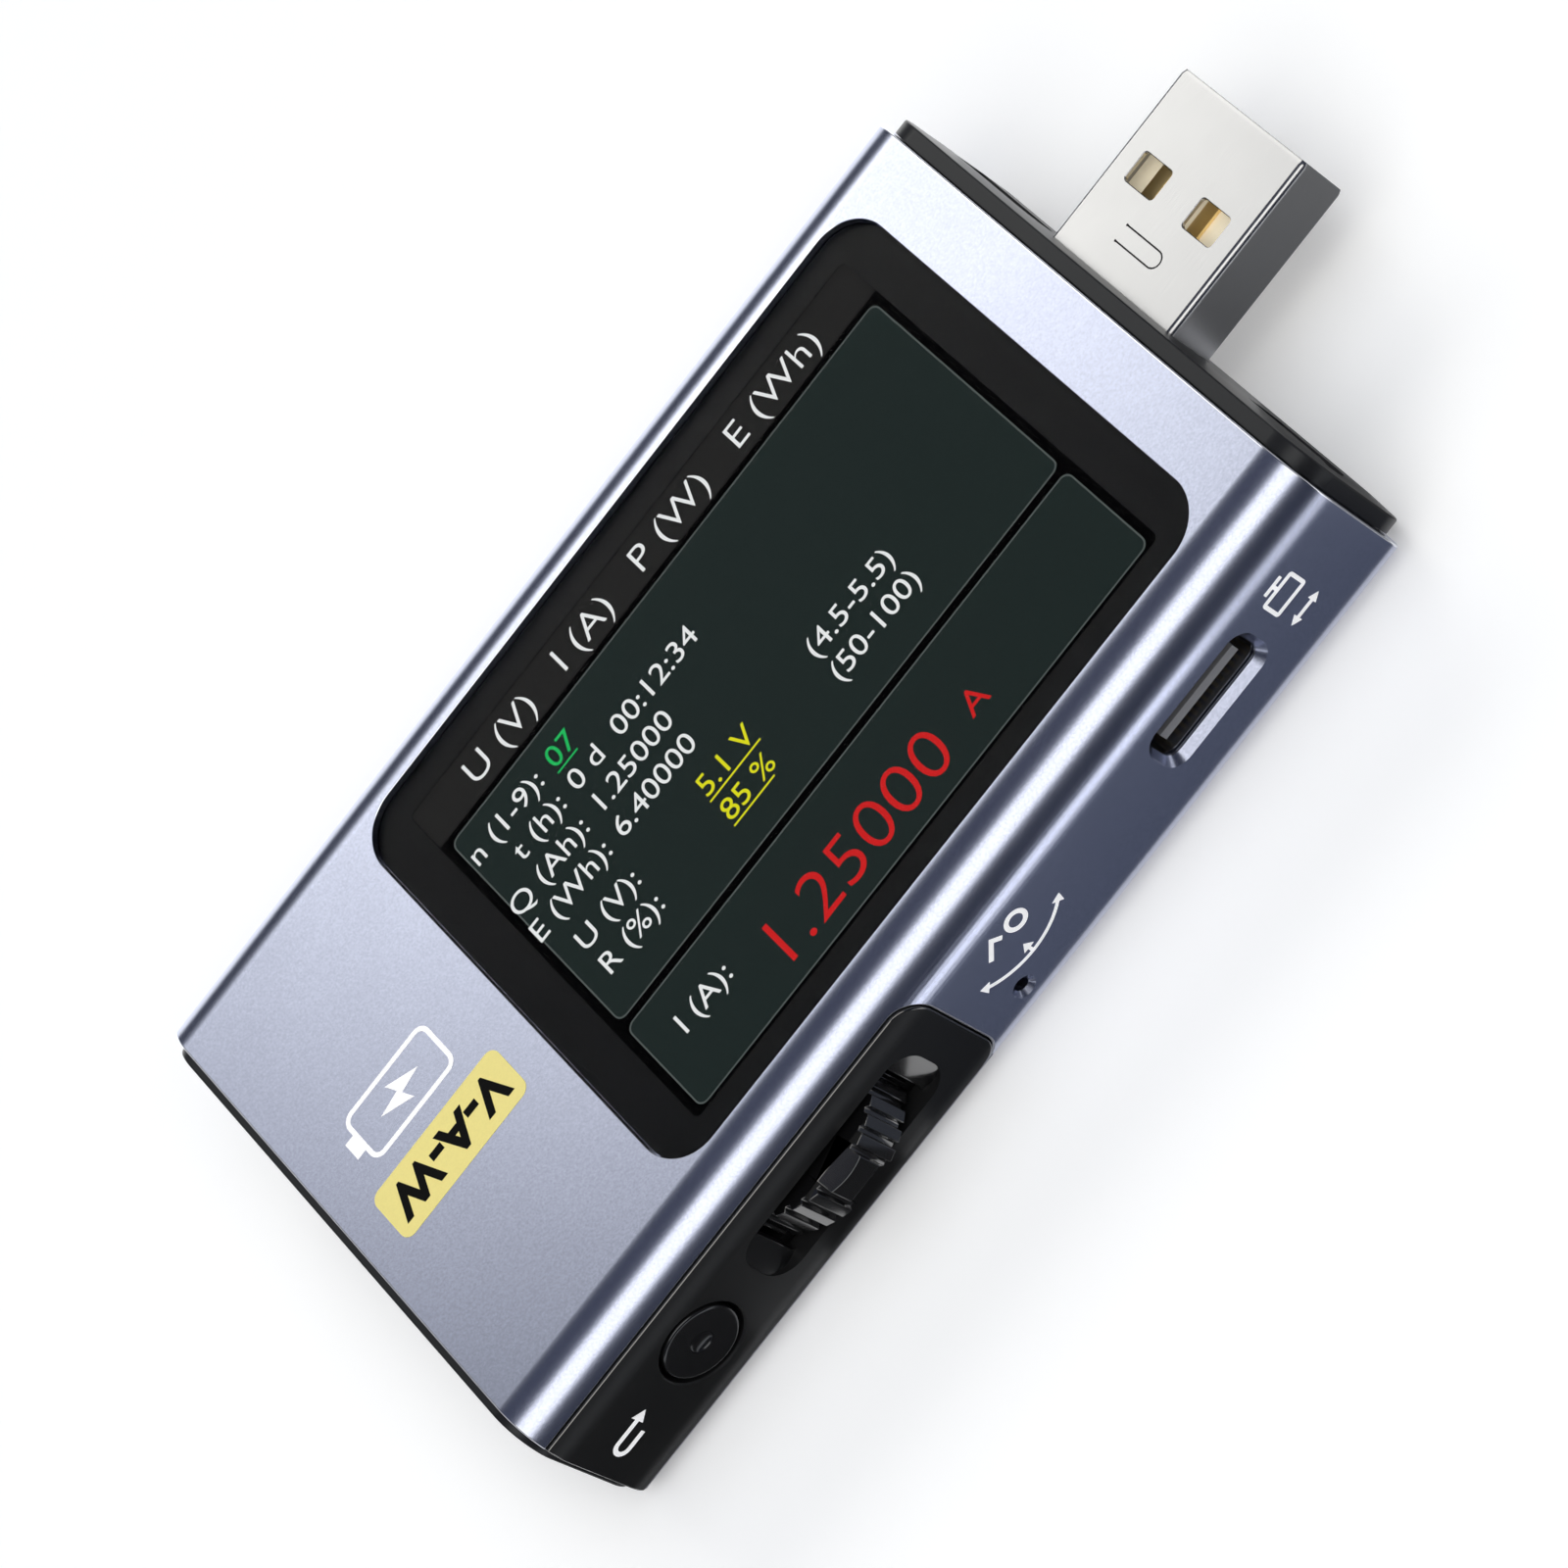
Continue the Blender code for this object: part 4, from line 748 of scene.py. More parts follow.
def microOutline(inset):
    low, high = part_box("input_micro_usb_shell")
    middle = (low.y + high.y) / 2
    half = (high.y - low.y) / 2 - inset
    floorHalf = socket["microFloor"] / 2 - inset
    waist = (low.z + high.z) / 2
    rise = (high.z - low.z) / 2 - inset
    profile = (
        (half, 0.0), (half, rise), (-half, rise), (-half, 0.0), (-floorHalf, -rise), (floorHalf, -rise))
    return [(middle + a, waist + b) for a, b in profile]


def capOutline(inset):
    width = 2 * (halfWidth - cap["sideInset"] - inset)
    height = topZ - 2 * (cap["inset"] + inset)
    return rounded(width, height, cap["corner"] - inset, (0.0, topZ / 2))


def makeCap(name, side, proud, node, openings):
    axes = facing((0, 0, 0), (side, 0, 0), (0, 0, 1))
    skirt = sleeveOutline(sleeve["wall"] + cap["skirtGap"])
    foot = endX - cap["skirtDepth"]
    rings = [(skirt, foot), (skirt, endX + cap["seat"]), (capOutline(0.0), endX + cap["seat"])]
    rim = cap["rimRound"]
    face = endX + proud
    for step in range(5):
        angle = step / 4 * pi / 2
        rings.append((capOutline(rim * (1 - cos(angle))), face - rim * (1 - sin(angle))))
    for step in range(1, 11):  # crown that levels off
        share = step / 10
        inset = rim + (cap["crownInset"] - rim) * share
        rings.append((capOutline(inset), face + cap["crown"] * (1 - (1 - share) ** 2)))
    piece = loft(name, rings, axes, [finishes["capPlastic"]])
    half = halfWidth - cap["sideInset"]
    for vertex in piece.data.vertices:  # the crown fades towards both long sides
        rise = side * vertex.co.x - face
        if rise > 0:
            vertex.co.x = side * (face + rise * (1 - (vertex.co.y / half) ** 2))
    inner = sleeveOutline(sleeve["wall"] + cap["skirtGap"] + cap["skirtThickness"])
    through = face + cap["crown"] + mm
    tools = [prism("hollow", inner, foot - mm, endX - cap["floor"], axes)]
    for number, outline in enumerate(openings):
        tools.append(prism("opening%d" % number, outline, foot - mm, through, axes))
    combine(piece, tools)
    dress(piece, "case", [node])


def makeCaps():
    gap = cap["openingGap"]
    small = socket["smallCorner"]
    makeCap("plugEndCap", 1, cap["plugProud"], "input_end_cap", [
        boxOutline("plug_shell", plug["corner"], 1, gap),
        boxOutline("input_usb_c_shell", small, 1, gap),
        microOutline(-gap),
    ])
    makeCap("socketEndCap", -1, cap["socketProud"], "output_end_cap", [
        boxOutline("output_socket_shell", socket["largeCorner"], -1, gap),
        boxOutline("output_usb_c_shell", small, -1, gap),
    ])


# side panel with the slot and the button hole
panel = {
    "thickness": 1.5 * mm, "gap": 0.12 * mm, "edge": 0.10 * mm, "slotHeight": 4.99 * mm,
    "slotEndGap": 0.45 * mm, "slotSlope": 1.8 * mm, "rampLength": 1.75 * mm, "rampDepth": 0.85 * mm,
    "rampStart": 0.08 * mm, "slotCorner": 1.9 * mm, "holeGap": 0.3 * mm, "roomCorner": 0.3 * mm,
    "rampReach": 3 * mm, "overlap": 0.02 * mm,
}
wheel = {
    "radius": 7.0 * mm, "back": 2.6 * mm, "pitch": 1.2 * mm, "grooveDepth": 0.35 * mm,
    "grooveFlank": 0.10 * mm, "grooveFloor": 0.30 * mm, "grooves": 5, "thumbWidth": 2.7 * mm,
    "thumbChamfer": 0.9 * mm, "bore": 0.98 * mm, "edge": 0.06 * mm,
}
button = {
    "radius": 2.65 * mm, "rim": 0.22 * mm, "dish": 0.10 * mm, "dimpleRadius": 0.82 * mm,
    "dimpleDepth": 0.36 * mm, "flangeReach": 0.8 * mm, "flangeThickness": 0.8 * mm, "stemRadius": 1.2 * mm,
    "seat": 0.1 * mm,
}


def makePanel():
    quarter = arcSteps + 1
    outer = sleeveOutline(0.0)[quarter:3 * quarter]
    inner = sleeveOutline(panel["thickness"])[quarter:3 * quarter]
    section = outer + list(reversed(inner))
    coats = (finishes["blackPlastic"], finishes["wheelPlastic"])
    shell = prism("sidePanel", section, -endX - mm, panelEndX + mm, alongX, coats)
    edge = prism("panelEdge", panelOutline(panel["gap"], -endX), 0.0, halfWidth + mm, toSide)
    combine(shell, [edge], 'INTERSECT')
    soften(shell, panel["edge"], 1)

    innerY = panel["thickness"] - halfWidth
    reach = sqrt(wheel["radius"] ** 2 - (wheelAxis.y - innerY) ** 2) + panel["slotEndGap"]
    centre = (wheelAxis.x, controlZ)
    mouthReach = reach + panel["slotSlope"]
    deep = rounded(2 * reach, panel["slotHeight"], panel["roomCorner"], centre)
    opening = rounded(2 * mouthReach, panel["slotHeight"], panel["slotCorner"], centre)
    foot = halfWidth - panel["rampDepth"]
    slot = prism("slot", opening, foot - mm, halfWidth + mm, toSide, coats)
    profile = []  # flat ramps run up to the face at both ends
    for side in (1, -1):
        half = [(mouthReach + mm, halfWidth + mm), (mouthReach + mm, halfWidth - panel["rampStart"]),
                (mouthReach, halfWidth - panel["rampStart"]), (mouthReach - panel["rampLength"], foot)]
        profile += [(wheelAxis.x + side * a, -b) for a, b in half[::side]]
    ramps = prism("ramps", profile, controlZ - panel["rampReach"], controlZ + panel["rampReach"], alongZ,
                  [finishes["wheelPlastic"]] * 2)
    for face in ramps.data.polygons:
        face.material_index = 1
    combine(slot, [ramps], 'INTERSECT')
    hole = chamferedCut(
        lambda grow: circle(button["radius"] + panel["holeGap"] + grow, (buttonX, controlZ)),
        -innerY - mm, halfWidth, panel["edge"])
    combine(shell, [
        prism("wheelRoom", deep, -innerY - mm, foot + panel["overlap"], toSide, coats), slot,
        loft("hole", hole, toSide, coats),
    ])
    dress(shell, "case", ["control_panel"])


def wheelOutline():
    radius = wheel["radius"]
    block = asin(wheel["thumbWidth"] / 2 / radius)
    flank = wheel["grooveFlank"] / radius
    floor = wheel["grooveFloor"] / radius
    half = [(radius, block * step / 4) for step in range(4)]
    for groove in range(wheel["grooves"]):
        start = block + groove * wheel["pitch"] / radius
        deep = radius - wheel["grooveDepth"]
        half += [(radius, start), (deep, start + flank), (deep, start + flank + floor),
                 (radius, start + 2 * flank + floor)]
    plain = block + wheel["grooves"] * wheel["pitch"] / radius
    back = acos(-wheel["back"] / radius)
    half += [(radius, plain + (back - plain) * step / 24) for step in range(25)]
    turns = [(r, -angle) for r, angle in reversed(half[1:])] + half
    return [(wheelAxis.x + r * sin(angle), wheelAxis.y - r * cos(angle)) for r, angle in turns]


def makeWheel():
    low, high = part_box("nav_wheel")
    piece = prism("thumbWheel", wheelOutline(), low.z, high.z, alongZ, [finishes["wheelPlastic"]])
    front = wheelAxis.y - wheel["radius"]
    size = wheel["thumbChamfer"]
    half = wheel["thumbWidth"] / 2
    tools = []
    for name, edgeZ, inward in (("upper", high.z, -1), ("lower", low.z, 1)):
        wedge = [
            (front - size, edgeZ + inward * 2 * size), (front - size, edgeZ - inward * size),
            (front + 2 * size, edgeZ - inward * size),
        ]
        tools.append(prism(name, wedge, wheelAxis.x - half, wheelAxis.x + half, alongX))
    combine(piece, tools)
    soften(piece, wheel["edge"])
    bore = circle(wheel["bore"], (wheelAxis.x, wheelAxis.y))
    combine(piece, [prism("bore", bore, low.z - mm, high.z + mm, alongZ)])
    dress(piece, "nav_wheel", ["nav_wheel"])


def makeButton():
    centre = (buttonX, controlZ)
    radius = button["radius"]
    innerY = halfWidth - panel["thickness"] - button["seat"]
    flange = radius + button["flangeReach"]
    flangeBack = innerY - button["flangeThickness"]
    profile = [
        (button["stemRadius"], -buttonHigh.y), (button["stemRadius"], flangeBack), (flange, flangeBack),
        (flange, innerY), (radius, innerY),
    ]
    rim = button["rim"]
    for step in range(5):  # rounded rim
        angle = step / 4 * pi / 2
        profile.append((radius - rim * (1 - cos(angle)), halfWidth - rim * (1 - sin(angle))))
    face = radius - rim
    for step in range(1, 9):  # face dished towards the dimple
        share = step / 8
        r = face + (button["dimpleRadius"] - face) * share
        profile.append((r, halfWidth - button["dish"] * share ** 0.7))
    for step in range(1, 7):
        angle = step / 7 * pi / 2
        r = button["dimpleRadius"] * cos(angle)
        profile.append((r, halfWidth - button["dish"] - button["dimpleDepth"] * sin(angle)))
    rings = [(circle(r, centre, 72), distance) for r, distance in profile]
    piece = loft("roundButton", rings, toSide, [finishes["buttonPlastic"]])
    dress(piece, "back_button", ["back_button"])


# plug and sockets
plug = {
    "corner": 0.42 * mm, "wall": 0.3 * mm, "tipTaper": 0.10 * mm, "tipLength": 0.35 * mm,
    "tipEdge": 0.015 * mm, "edge": 0.05 * mm, "windowLength": 2.14 * mm, "windowWidth": 2.78 * mm,
    "windowCorner": 0.28 * mm, "windowSpread": 5.7 * mm, "windowFromTip": 6.3 * mm,
    "tabFromTip": 9.89 * mm, "tabLength": 4.04 * mm, "tabWidth": 1.16 * mm, "tabGroove": 0.11 * mm,
    "tabDepth": 0.22 * mm, "tabOpen": 0.25 * mm, "tabHole": 0.09 * mm,
}
socket = {
    "smallCorner": 1.4 * mm, "smallWall": 0.3 * mm, "largeCorner": 0.4 * mm, "largeWall": 0.3 * mm,
    "microFloor": 5.6 * mm, "microWall": 0.3 * mm, "edge": 0.05 * mm, "padWidth": 0.25 * mm,
    "padPitch": 0.5 * mm, "padLength": 2.7 * mm, "padThickness": 0.03 * mm, "pads": 12,
    "padRecess": 1.0 * mm, "padHeight": 0.35 * mm,
}


def makePlug():
    low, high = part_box("plug_shell")
    middleY = (low.y + high.y) / 2
    outer = boxOutline("plug_shell", plug["corner"], 1)
    taper = boxOutline("plug_shell", plug["corner"], 1, -plug["tipTaper"])
    bore = boxOutline("plug_shell", plug["corner"], 1, -plug["wall"])
    tipEdge = plug["tipEdge"]
    tip = boxOutline("plug_shell", plug["corner"], 1, -plug["tipTaper"] - tipEdge)
    rings = [(outer, low.x), (outer, high.x - plug["tipLength"]), (taper, high.x - tipEdge), (tip, high.x)]
    coats = (finishes["plated"], finishes["chipEpoxy"])
    shell = loft("plugShell", rings, alongX, coats)
    tools = [prism("bore", bore, low.x - mm, high.x + mm, alongX, coats)]
    for side in (1, -1):
        place = (high.x - plug["windowFromTip"], middleY + side * plug["windowSpread"] / 2)

        def windowAt(grow):
            length = plug["windowLength"] + 2 * grow
            return rounded(length, plug["windowWidth"] + 2 * grow, plug["windowCorner"] + grow, place, 8)

        middleZ = (low.z + high.z) / 2
        window = chamferedCut(windowAt, middleZ, high.z, plug["edge"])
        tools.append(loft("window%d" % side, window, alongZ, coats))
        tools.append(prism("back%d" % side, windowAt(0.0), low.z - mm, middleZ, alongZ, coats))
    groove = bmesh.new()  # lanced tab: a stadium left open at one end
    radius = plug["tabWidth"] / 2
    tabX = high.x - plug["tabFromTip"]
    straight = plug["tabLength"] / 2 - radius
    path = [(tabX - radius, middleY + straight - plug["tabOpen"] + radius)]
    for step in range(13):
        angle = pi + step / 12 * pi
        path.append((tabX + radius * cos(angle), middleY - straight + radius * sin(angle)))
    path.append((tabX + radius, middleY + straight - plug["tabOpen"] + radius))
    tabFloor = high.z - plug["tabDepth"]
    ribbon(groove, path, plug["tabGroove"], tabFloor, high.z + mm, alongZ)
    for face in groove.faces:
        face.material_index = 1
    for number, place in enumerate((path[0], path[-1])):  # relief holes at both ends of the groove
        hole = circle(plug["tabHole"], place, 16)
        tools.append(prism("tabHole%d" % number, hole, tabFloor, high.z + mm, alongZ, coats[1:] * 2))
    combine(shell, tools + [addObject("tabGroove", groove, coats)])
    dress(shell, "case", ["plug_shell"])


def makeShell(name, node, corner, wall, axis):
    low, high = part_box(node)
    centre = ((low.x + high.x) / 2, (low.z + high.z) / 2)

    def outlineAt(inset):
        if axis == "x":
            return boxOutline(node, corner, 1, -inset)
        return rounded(high.x - low.x - 2 * inset, high.z - low.z - 2 * inset, corner - inset, centre, 10)

    near, far, axes = (low.x, high.x, alongX) if axis == "x" else (-high.y, -low.y, toSide)
    shell = loft(name, roundedEnds(outlineAt, near, far, socket["edge"]), axes, [finishes["plated"]])
    combine(shell, [prism("hollow", outlineAt(wall), near - mm, far + mm, axes)])
    dress(shell, "case", [node])


def makePads(name, node, out):
    # gold pads on both faces of a tongue
    low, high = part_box(node)
    middle = (low + high) / 2
    axes = facing((0, 0, 0), (0, 0, 1), out)
    mouth = max(low.dot(Vector(out)), high.dot(Vector(out))) - socket["padRecess"]
    across = middle.dot(axes.col[0].to_3d())
    half = socket["padWidth"] / 2
    shape = bmesh.new()
    for side in (1, -1):
        inner = middle.z + side * socket["padHeight"]
        outer = inner + side * socket["padThickness"]
        for number in range(socket["pads"]):
            a = across + (number - (socket["pads"] - 1) / 2) * socket["padPitch"]
            pad = rectangle(a - half, a + half, mouth - socket["padLength"], mouth)
            plate(shape, pad, min(inner, outer), max(inner, outer), axes)
    layPrint(name, shape, "gold")


def makeSockets():
    makeShell("outputShell", "output_socket_shell", socket["largeCorner"], socket["largeWall"], "x")
    for name, node, axis, out in (
            ("sidePort", "side_port", "y", (0, -1, 0)), ("inputPort", "input_usb_c", "x", (1, 0, 0)),
            ("outputPort", "output_usb_c", "x", (-1, 0, 0))):
        makeShell(name + "Shell", node + "_shell", socket["smallCorner"], socket["smallWall"], axis)
        makePads(name + "Pads", node + "_tongue", out)
    low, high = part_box("input_micro_usb_shell")
    rings = roundedEnds(microOutline, low.x, high.x, socket["edge"])
    shell = loft("microShell", rings, alongX, [finishes["plated"]])
    combine(shell, [prism("hollow", microOutline(socket["microWall"]), low.x - mm, high.x + mm, alongX)])
    dress(shell, "case", ["input_micro_usb_shell"])


# printed badge and signs
ink = {"thickness": 0.018 * mm, "sink": 0.004 * mm, "stroke": 0.34 * mm}
badge = {
    "centre": (-26.94 * mm, -3.03 * mm), "length": 11.9 * mm, "width": 4.3 * mm, "corner": 0.75 * mm,
    "words": "V-A-W", "capHeight": 2.35 * mm, "weight": 0.13 * mm, "stretch": 0.98,
}
cell = {  # battery sign beside the badge
    "centre": (-27.1 * mm, 2.6 * mm), "length": 7.6 * mm, "width": 3.9 * mm, "corner": 0.7 * mm,
    "nub": 0.75 * mm, "nubWidth": 1.5 * mm, "stroke": 0.34 * mm,
}
signs = {
    "returnX": -32.2 * mm, "returnZ": 6.75 * mm, "returnLength": 3.2 * mm, "returnHeight": 1.1 * mm,
    "tickX": 3.55 * mm, "tickZ": 8.75 * mm, "tickSize": 1.15 * mm, "ringX": 5.45 * mm,
    "ringRadius": 0.68 * mm, "arcX": 4.45 * mm, "arcLow": 5.70 * mm, "arcHigh": 7.20 * mm,
    "arcHalf": 3.65 * mm, "arrow": 0.42 * mm, "screenX": 29.55 * mm, "screenZ": 8.1 * mm,
    "screenLength": 2.4 * mm, "screenHeight": 1.5 * mm, "waysZ": 5.75 * mm, "waysHalf": 1.25 * mm,
    "arcShare": 0.93, "stemLength": 0.7 * mm, "stemTip": 1.1 * mm, "screenCorner": 0.12 * mm,
    "standHeight": 0.5 * mm, "footDrop": 0.55 * mm, "hookShort": 0.5 * mm,
}


def arrowHead(shape, tip, direction, size, low, high, axes):
    along = Vector(direction).normalized()
    across = Vector((-along.y, along.x))
    point = Vector(tip)
    foot = point - along * size * 1.5
    corners = (point, foot + across * size, foot - across * size)
    plate(shape, [(p.x, p.y) for p in corners], low, high + 0.004 * mm, axes)


def makeBadge():
    low = topZ - ink["sink"]
    high = topZ + ink["thickness"]
    ground = bmesh.new()
    outline = rounded(badge["length"], badge["width"], badge["corner"], badge["centre"], 8)
    plate(ground, outline, low, high, alongZ)
    words = bmesh.new()
    turned = facing((*badge["centre"], 0.0), (0, 0, 1), (0, -1, 0))  # read from the other side
    place = (0.0, -badge["capHeight"] / 2, high)
    lettering(words, badge["words"], badge["capHeight"], place, turned, ink["thickness"], 'CENTER',
              badge["weight"], badge["stretch"])
    sign = bmesh.new()
    outline = rounded(cell["length"], cell["width"], cell["corner"], cell["centre"], 6)
    ribbon(sign, outline, cell["stroke"], low, high, alongZ, closed=True)
    nubX = cell["centre"][0] - cell["length"] / 2 - cell["stroke"] / 2
    nub = rectangle(nubX - cell["nub"], nubX, cell["centre"][1] - cell["nubWidth"] / 2,
                    cell["centre"][1] + cell["nubWidth"] / 2)
    plate(sign, nub, low, high, alongZ)
    bolt = ((1.9, 0.1), (-0.5, 1.15), (-0.1, 0.2), (-1.9, -0.1), (0.5, -1.15), (0.1, -0.2))
    centre = cell["centre"]
    plate(sign, [(centre[0] + a * mm, centre[1] + b * mm) for a, b in bolt], low, high, alongZ)
    for name, shape, finish in (("badgeGround", ground, "yellowInk"), ("badgeWords", words, "blackInk"),
                                ("batterySign", sign, "whiteInkPaintedGlow")):
        layPrint(name, shape, finish)


def makeSigns():
    low = halfWidth - ink["sink"]
    high = halfWidth + ink["thickness"]

    def stroke(shape, points, share=1.0, closed=False):
        ribbon(shape, points, share * ink["stroke"], low, high, toSide, closed)

    def head(shape, tip, direction, share=1.0):
        arrowHead(shape, tip, direction, share * signs["arrow"], low, high, toSide)

    side = bmesh.new()
    x, z, size = signs["tickX"], signs["tickZ"], signs["tickSize"]
    stroke(side, [(x + 0.55 * size, z), (x + 0.1 * size, z + 0.5 * size), (x - 0.8 * size, z - 0.55 * size)])
    stroke(side, circle(signs["ringRadius"], (signs["ringX"], z), 28), closed=True)
    x, lowZ, highZ, half = signs["arcX"], signs["arcLow"], signs["arcHigh"], signs["arcHalf"]
    drop = highZ - lowZ
    radius = (half ** 2 + drop ** 2) / (2 * drop)
    sweep = asin(half / radius)
    drawn = sweep * signs["arcShare"]
    arc = []
    for step in range(25):
        angle = -drawn + 2 * drawn * step / 24
        arc.append((x + radius * sin(angle), lowZ + radius - radius * cos(angle)))
    stroke(side, arc, 0.7)
    for end in (1, -1):
        head(side, (x + end * half, highZ), (end * cos(sweep), sin(sweep)))
    stroke(side, [(x, lowZ), (x, lowZ + signs["stemLength"])], 0.7)
    head(side, (x, lowZ + signs["stemTip"]), (0.0, 1.0))

    x, z = signs["screenX"], signs["screenZ"]
    screen = rounded(signs["screenLength"], signs["screenHeight"], signs["screenCorner"], (x, z), 4)
    stroke(side, screen, 0.8, closed=True)
    footZ = z + signs["screenHeight"] / 2
    stroke(side, [(x, footZ), (x, footZ + signs["standHeight"])], 0.8)
    foot = signs["screenLength"] * 0.3
    footZ += signs["footDrop"]
    stroke(side, [(x - foot, footZ), (x + foot, footZ)], 0.8)
    z, reach = signs["waysZ"], signs["waysHalf"]
    stroke(side, [(x - 0.7 * reach, z), (x + 0.7 * reach, z)], 0.8)
    for end in (1, -1):
        head(side, (x + end * reach, z), (end, 0.0))
    layPrint("sideSigns", side, "whiteInkPaintedGlow")

    back = bmesh.new()
    x, z = signs["returnX"], signs["returnZ"]
    half = signs["returnLength"] / 2
    radius = signs["returnHeight"] / 2
    hook = [(x + half - signs["hookShort"], z + radius)]
    for step in range(11):
        angle = pi / 2 + step / 10 * pi
        hook.append((x - half + radius + radius * cos(angle), z + radius * sin(angle)))
    hook.append((x + 0.2 * half, z - radius))
    stroke(back, hook)
    head(back, (x + half, z + radius), (1.0, 0.0), 1.3)
    layPrint("returnSign", back, "whiteInkPaintedGlow")


# materials of the solids that show as they are
slotFinishes = {
    "sleeve_aluminium": "anodised", "cover_glass": "clearGlass", "adhesive_foam": "foam",
    "display_frame": "displayFrame", "flex_film": "flexFilm", "pale_plastic": "palePlastic",
    "black_plastic": "blackPlastic", "wheel_plastic": "wheelPlastic", "plated_steel": "plated",
    "gold_contact": "gold", "core_plastic": "amberPlastic", "circuit_board": "solderMask",
    "chip_epoxy": "chipEpoxy", "ferrite": "ferrite",
}
nodeFinishes = {  # seen otherwise than their slot
    # the plug core takes the lit copy of the core plastic, with its painted glow
    "wheel_switch_housing": "blackPlastic", "side_port_tongue": "greyPlastic", "plug_core": "plugCoreLitCopy",
}


def dressNodes():
    for part in frame["record"]["subparts"]:
        node = frame["nodes"][part["node"]]
        finish = nodeFinishes.get(part["node"], slotFinishes[part["material_slot"]])
        node.data.materials.clear()
        node.data.materials.append(finishes[finish])


makeSleeve()
print("sleeve done")
makeReadout(makeGlass())
print("glass and display done")
makeCaps()
makePanel()
makeWheel()
makeButton()
print("caps and controls done")
makePlug()
makeSockets()
print("plug and sockets done")
makeBadge()
makeSigns()
dressNodes()
print("prints and materials done")


# studio: pale sweep, soft lights, flags and cards that shape the reflections in the metal
studio = {
    "floorZ": -0.1 * mm, "floorRadius": 2.0, "wallHeight": 0.45, "sweepRadius": 0.25,
    "floorColour": (0.86, 0.86, 0.87), "floorGlow": 0.25, "cardLift": 0.05 * mm,
    "ceiling": (0.072, 0.082, 0.120),
}
lamps = (  # name, direction from the part, distance, width, height, radiance, tint, seen in gloss
    ("frontStrip", (-0.10, -0.53, 0.845), 0.9, 1.2, 0.53, 2.32, (1.0, 0.975, 0.90), True),
    ("fill", (0.05, -0.10, 1.0), 1.2, 1.2, 1.2, 1.34, (0.94, 0.975, 1.0), False),
)
rearPanel = {  # overhead panel behind the part, brighter to the rear and to the plug end
    "height": 0.7635, "lowX": -0.6, "highX": 0.6, "lowY": 0.42, "highY": 1.15, "alongStart": -0.328,
    "alongRise": 8.3, "alongLow": 0.25, "alongHigh": 1.46, "acrossStart": 0.472, "acrossLow": 0.0,
    "acrossRise": 9.2, "acrossHigh": 2.4, "most": 3.1, "dimTint": (0.96, 0.98, 1.0),
    "brightTint": (1.0, 0.98, 0.91), "tintFrom": 0.6, "tintTo": 2.0,
}
darkShade = (0.035, 0.036, 0.040)
paleShade = (0.8, 0.8, 0.8)
flagShade = (0.035, 0.045, 0.080)
cards = (  # name, lowest and highest corner, shade, glow
    ("frontCard", (-0.008, -0.038, 0.0), (0.037, -0.0223, 0.0), (0.155, 0.170, 0.215), 0.0),
    ("panelCardNear", (-0.080, -0.038, 0.0), (-0.0245, -0.0232, 0.0), darkShade, 0.0),
    ("panelCardSlot", (-0.0245, -0.038, 0.0), (-0.0178, -0.0258, 0.0), darkShade, 0.0),
    ("panelCardRamp", (-0.0178, -0.038, 0.0), (-0.0105, -0.0222, 0.0), darkShade, 0.0),
    ("panelCardFar", (-0.0105, -0.038, 0.0), (-0.008, -0.0258, 0.0), darkShade, 0.0),
    ("underCard", (-0.040, -0.0222, 0.0), (-0.0025, -0.016, 0.0), (0.36, 0.36, 0.37), 0.0),
    ("plugCard", (0.0375, -0.030, 0.0), (0.075, -0.0055, 0.0), (0.29, 0.29, 0.29), 0.0),
    ("brightCard", (-0.20, -0.079, 0.0), (0.022, -0.046, 0.0), paleShade, 1.5),
    ("brightCardEnd", (0.022, -0.079, 0.0), (0.20, -0.046, 0.0), paleShade, 0.6),
    ("flagFoot", (-0.30, -0.110, 0.0), (0.30, -0.079, 0.0), flagShade, 0.0),
    ("rearCard", (-0.20, 0.026, 0.0), (0.20, 0.30, 0.0), paleShade, 0.8),
    ("frontFlag", (-0.30, -0.110, 0.0), (0.30, -0.110, 0.075), flagShade, 0.0),
    ("rearFlag", (-1.2, 0.6, 0.0), (1.2, 0.6, 0.30), flagShade, 0.0),
)
view = {
    "place": (49.747 * mm, -241.847 * mm, 295.558 * mm), "aim": (2.511 * mm, -6.104 * mm, 13.5 * mm),
    "roll": -60.453, "lens": 145.953,
}


def makeStage():
    radius = studio["floorRadius"]
    sweep = studio["sweepRadius"]
    profile = [(0.05, 0.0), (radius - sweep, 0.0)]
    for step in range(1, 9):
        angle = step / 8 * pi / 2
        profile.append((radius - sweep + sweep * sin(angle), sweep * (1 - cos(angle))))
    profile.append((radius, studio["wallHeight"]))
    shape = bmesh.new()
    loops = []
    for r, z in profile:
        height = studio["floorZ"] + z
        loops.append([shape.verts.new((x, y, height)) for x, y in circle(r, steps=72)])
    shape.faces.new(loops[0])
    for lower, upper in zip(loops, loops[1:]):
        for k in range(len(lower)):
            shape.faces.new((lower[k - 1], lower[k], upper[k], upper[k - 1]))
    material, tree, shader = newMaterial("paleSweep")
    setInputs(shader, {
        "Base Color": studio["floorColour"], "Roughness": 0.9, "Specular IOR Level": 0.0,
        "Emission Color": (1.0, 1.0, 1.0)})
    rays = addNode(tree, 'ShaderNodeLightPath').outputs
    seen = maths(tree, 'MAXIMUM', rays["Is Camera Ray"], rays["Is Glossy Ray"])
    shown = maths(tree, 'MAXIMUM', seen, rays["Is Transmission Ray"])
    tree.links.new(maths(tree, 'MULTIPLY', shown, studio["floorGlow"]), shader.inputs["Emission Strength"])
    floor = addObject("paleSweep", shape, [material])
    floor.data.shade_smooth()


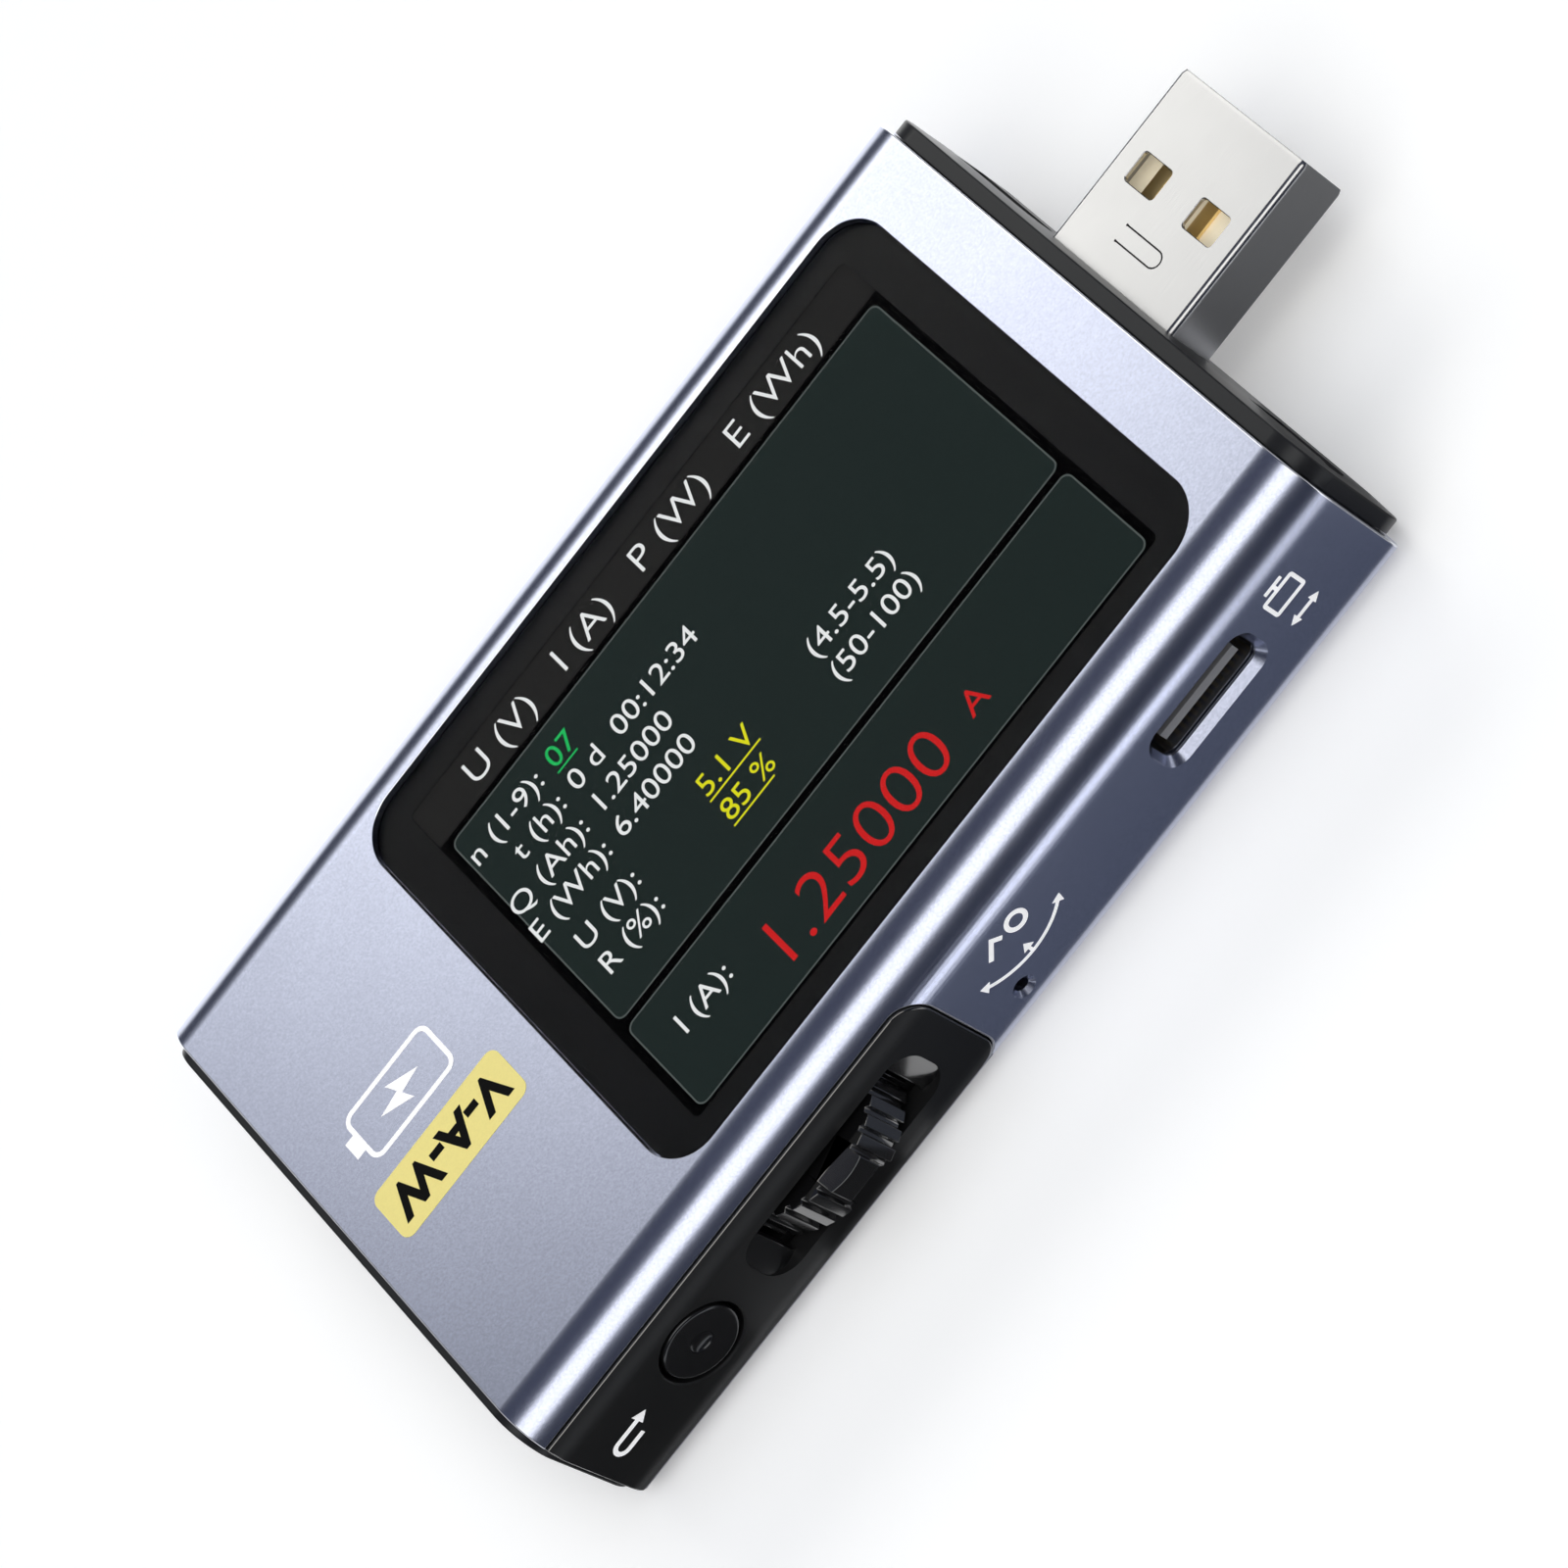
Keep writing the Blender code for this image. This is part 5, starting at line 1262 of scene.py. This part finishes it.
def makeCards():
    lift = studio["floorZ"] + studio["cardLift"]
    for name, low, high, shade, glow in cards:
        material, tree, shader = newMaterial(name)
        setInputs(shader, {
            "Base Color": shade, "Roughness": 0.9, "Emission Color": (1.0, 1.0, 1.0),
            "Emission Strength": glow})
        if low[2] == high[2]:
            corners = [(x, y, lift) for x, y in rectangle(low[0], high[0], low[1], high[1])]
        else:
            corners = [(x, low[1], lift + z) for x, z in rectangle(low[0], high[0], low[2], high[2])]
        shape = bmesh.new()
        shape.faces.new([shape.verts.new(corner) for corner in corners])
        card = addObject(name, shape, [material])
        card.visible_camera = False
        card.visible_diffuse = False
        card.visible_shadow = False


def makeRearPanel():
    shape = bmesh.new()
    corners = rectangle(rearPanel["lowX"], rearPanel["highX"], rearPanel["lowY"], rearPanel["highY"])
    shape.faces.new([shape.verts.new((x, y, rearPanel["height"])) for x, y in corners])
    material, tree, shader = newMaterial("rearPanel")
    setInputs(shader, {"Base Color": (0.0, 0.0, 0.0)})
    where = addNode(tree, 'ShaderNodeTexCoord').outputs["Object"]
    parts = addNode(tree, 'ShaderNodeSeparateXYZ', {0: where})
    shares = []
    for axis, kind in (("X", "along"), ("Y", "across")):
        start = maths(tree, 'SUBTRACT', parts.outputs[axis], rearPanel[kind + "Start"])
        rise = maths(tree, 'MULTIPLY', start, rearPanel[kind + "Rise"])
        least = maths(tree, 'MAXIMUM', rise, rearPanel[kind + "Low"])
        shares.append(maths(tree, 'MINIMUM', least, rearPanel[kind + "High"]))
    light = maths(tree, 'MINIMUM', maths(tree, 'MULTIPLY', *shares), rearPanel["most"])
    share = addNode(
        tree, 'ShaderNodeMapRange', {"Value": light, 1: rearPanel["tintFrom"], 2: rearPanel["tintTo"]})
    tint = addNode(tree, 'ShaderNodeMix', {0: share.outputs[0]}, data_type='RGBA')
    tint.inputs[6].default_value = (*rearPanel["dimTint"], 1.0)
    tint.inputs[7].default_value = (*rearPanel["brightTint"], 1.0)
    tree.links.new(tint.outputs[2], shader.inputs["Emission Color"])
    tree.links.new(light, shader.inputs["Emission Strength"])
    piece = addObject("rearPanel", shape, [material])
    piece.visible_camera = False
    piece.visible_shadow = False


def makeLights():
    target = Vector((0.0, 0.0, topZ))
    for name, direction, distance, width, height, radiance, tint, glossy in lamps:
        lamp = bpy.data.lights.new(name, 'AREA')
        lamp.shape = 'RECTANGLE'
        lamp.size = width
        lamp.size_y = height
        lamp.energy = radiance * pi * width * height
        lamp.color = tint
        holder = bpy.data.objects.new(name, lamp)
        holder.location = target + Vector(direction).normalized() * distance
        holder.rotation_euler = Vector(direction).to_track_quat('Z', 'Y').to_euler()
        holder.visible_camera = False
        holder.visible_glossy = glossy
        bpy.context.scene.collection.objects.link(holder)
    world = bpy.data.worlds.new("ceiling")
    world.use_nodes = True
    sky = world.node_tree.nodes["Background"]
    sky.inputs["Color"].default_value = (*studio["ceiling"], 1.0)
    bpy.context.scene.world = world


def makeCamera():
    lens = bpy.data.cameras.new("camera")
    lens.lens = view["lens"]
    lens.sensor_width = 36.0
    lens.clip_start = 0.01
    holder = bpy.data.objects.new("camera", lens)
    place = Vector(view["place"])
    look = Vector(view["aim"]) - place
    turn = look.to_track_quat('-Z', 'Y').to_matrix() @ Matrix.Rotation(radians(view["roll"]), 3, 'Z')
    holder.matrix_world = Matrix.Translation(place) @ turn.to_4x4()
    bpy.context.scene.collection.objects.link(holder)
    bpy.context.scene.camera = holder


makeStage()
makeCards()
makeRearPanel()
makeLights()
makeCamera()
bpy.context.scene.view_settings.view_transform = 'Standard'
print("studio done")
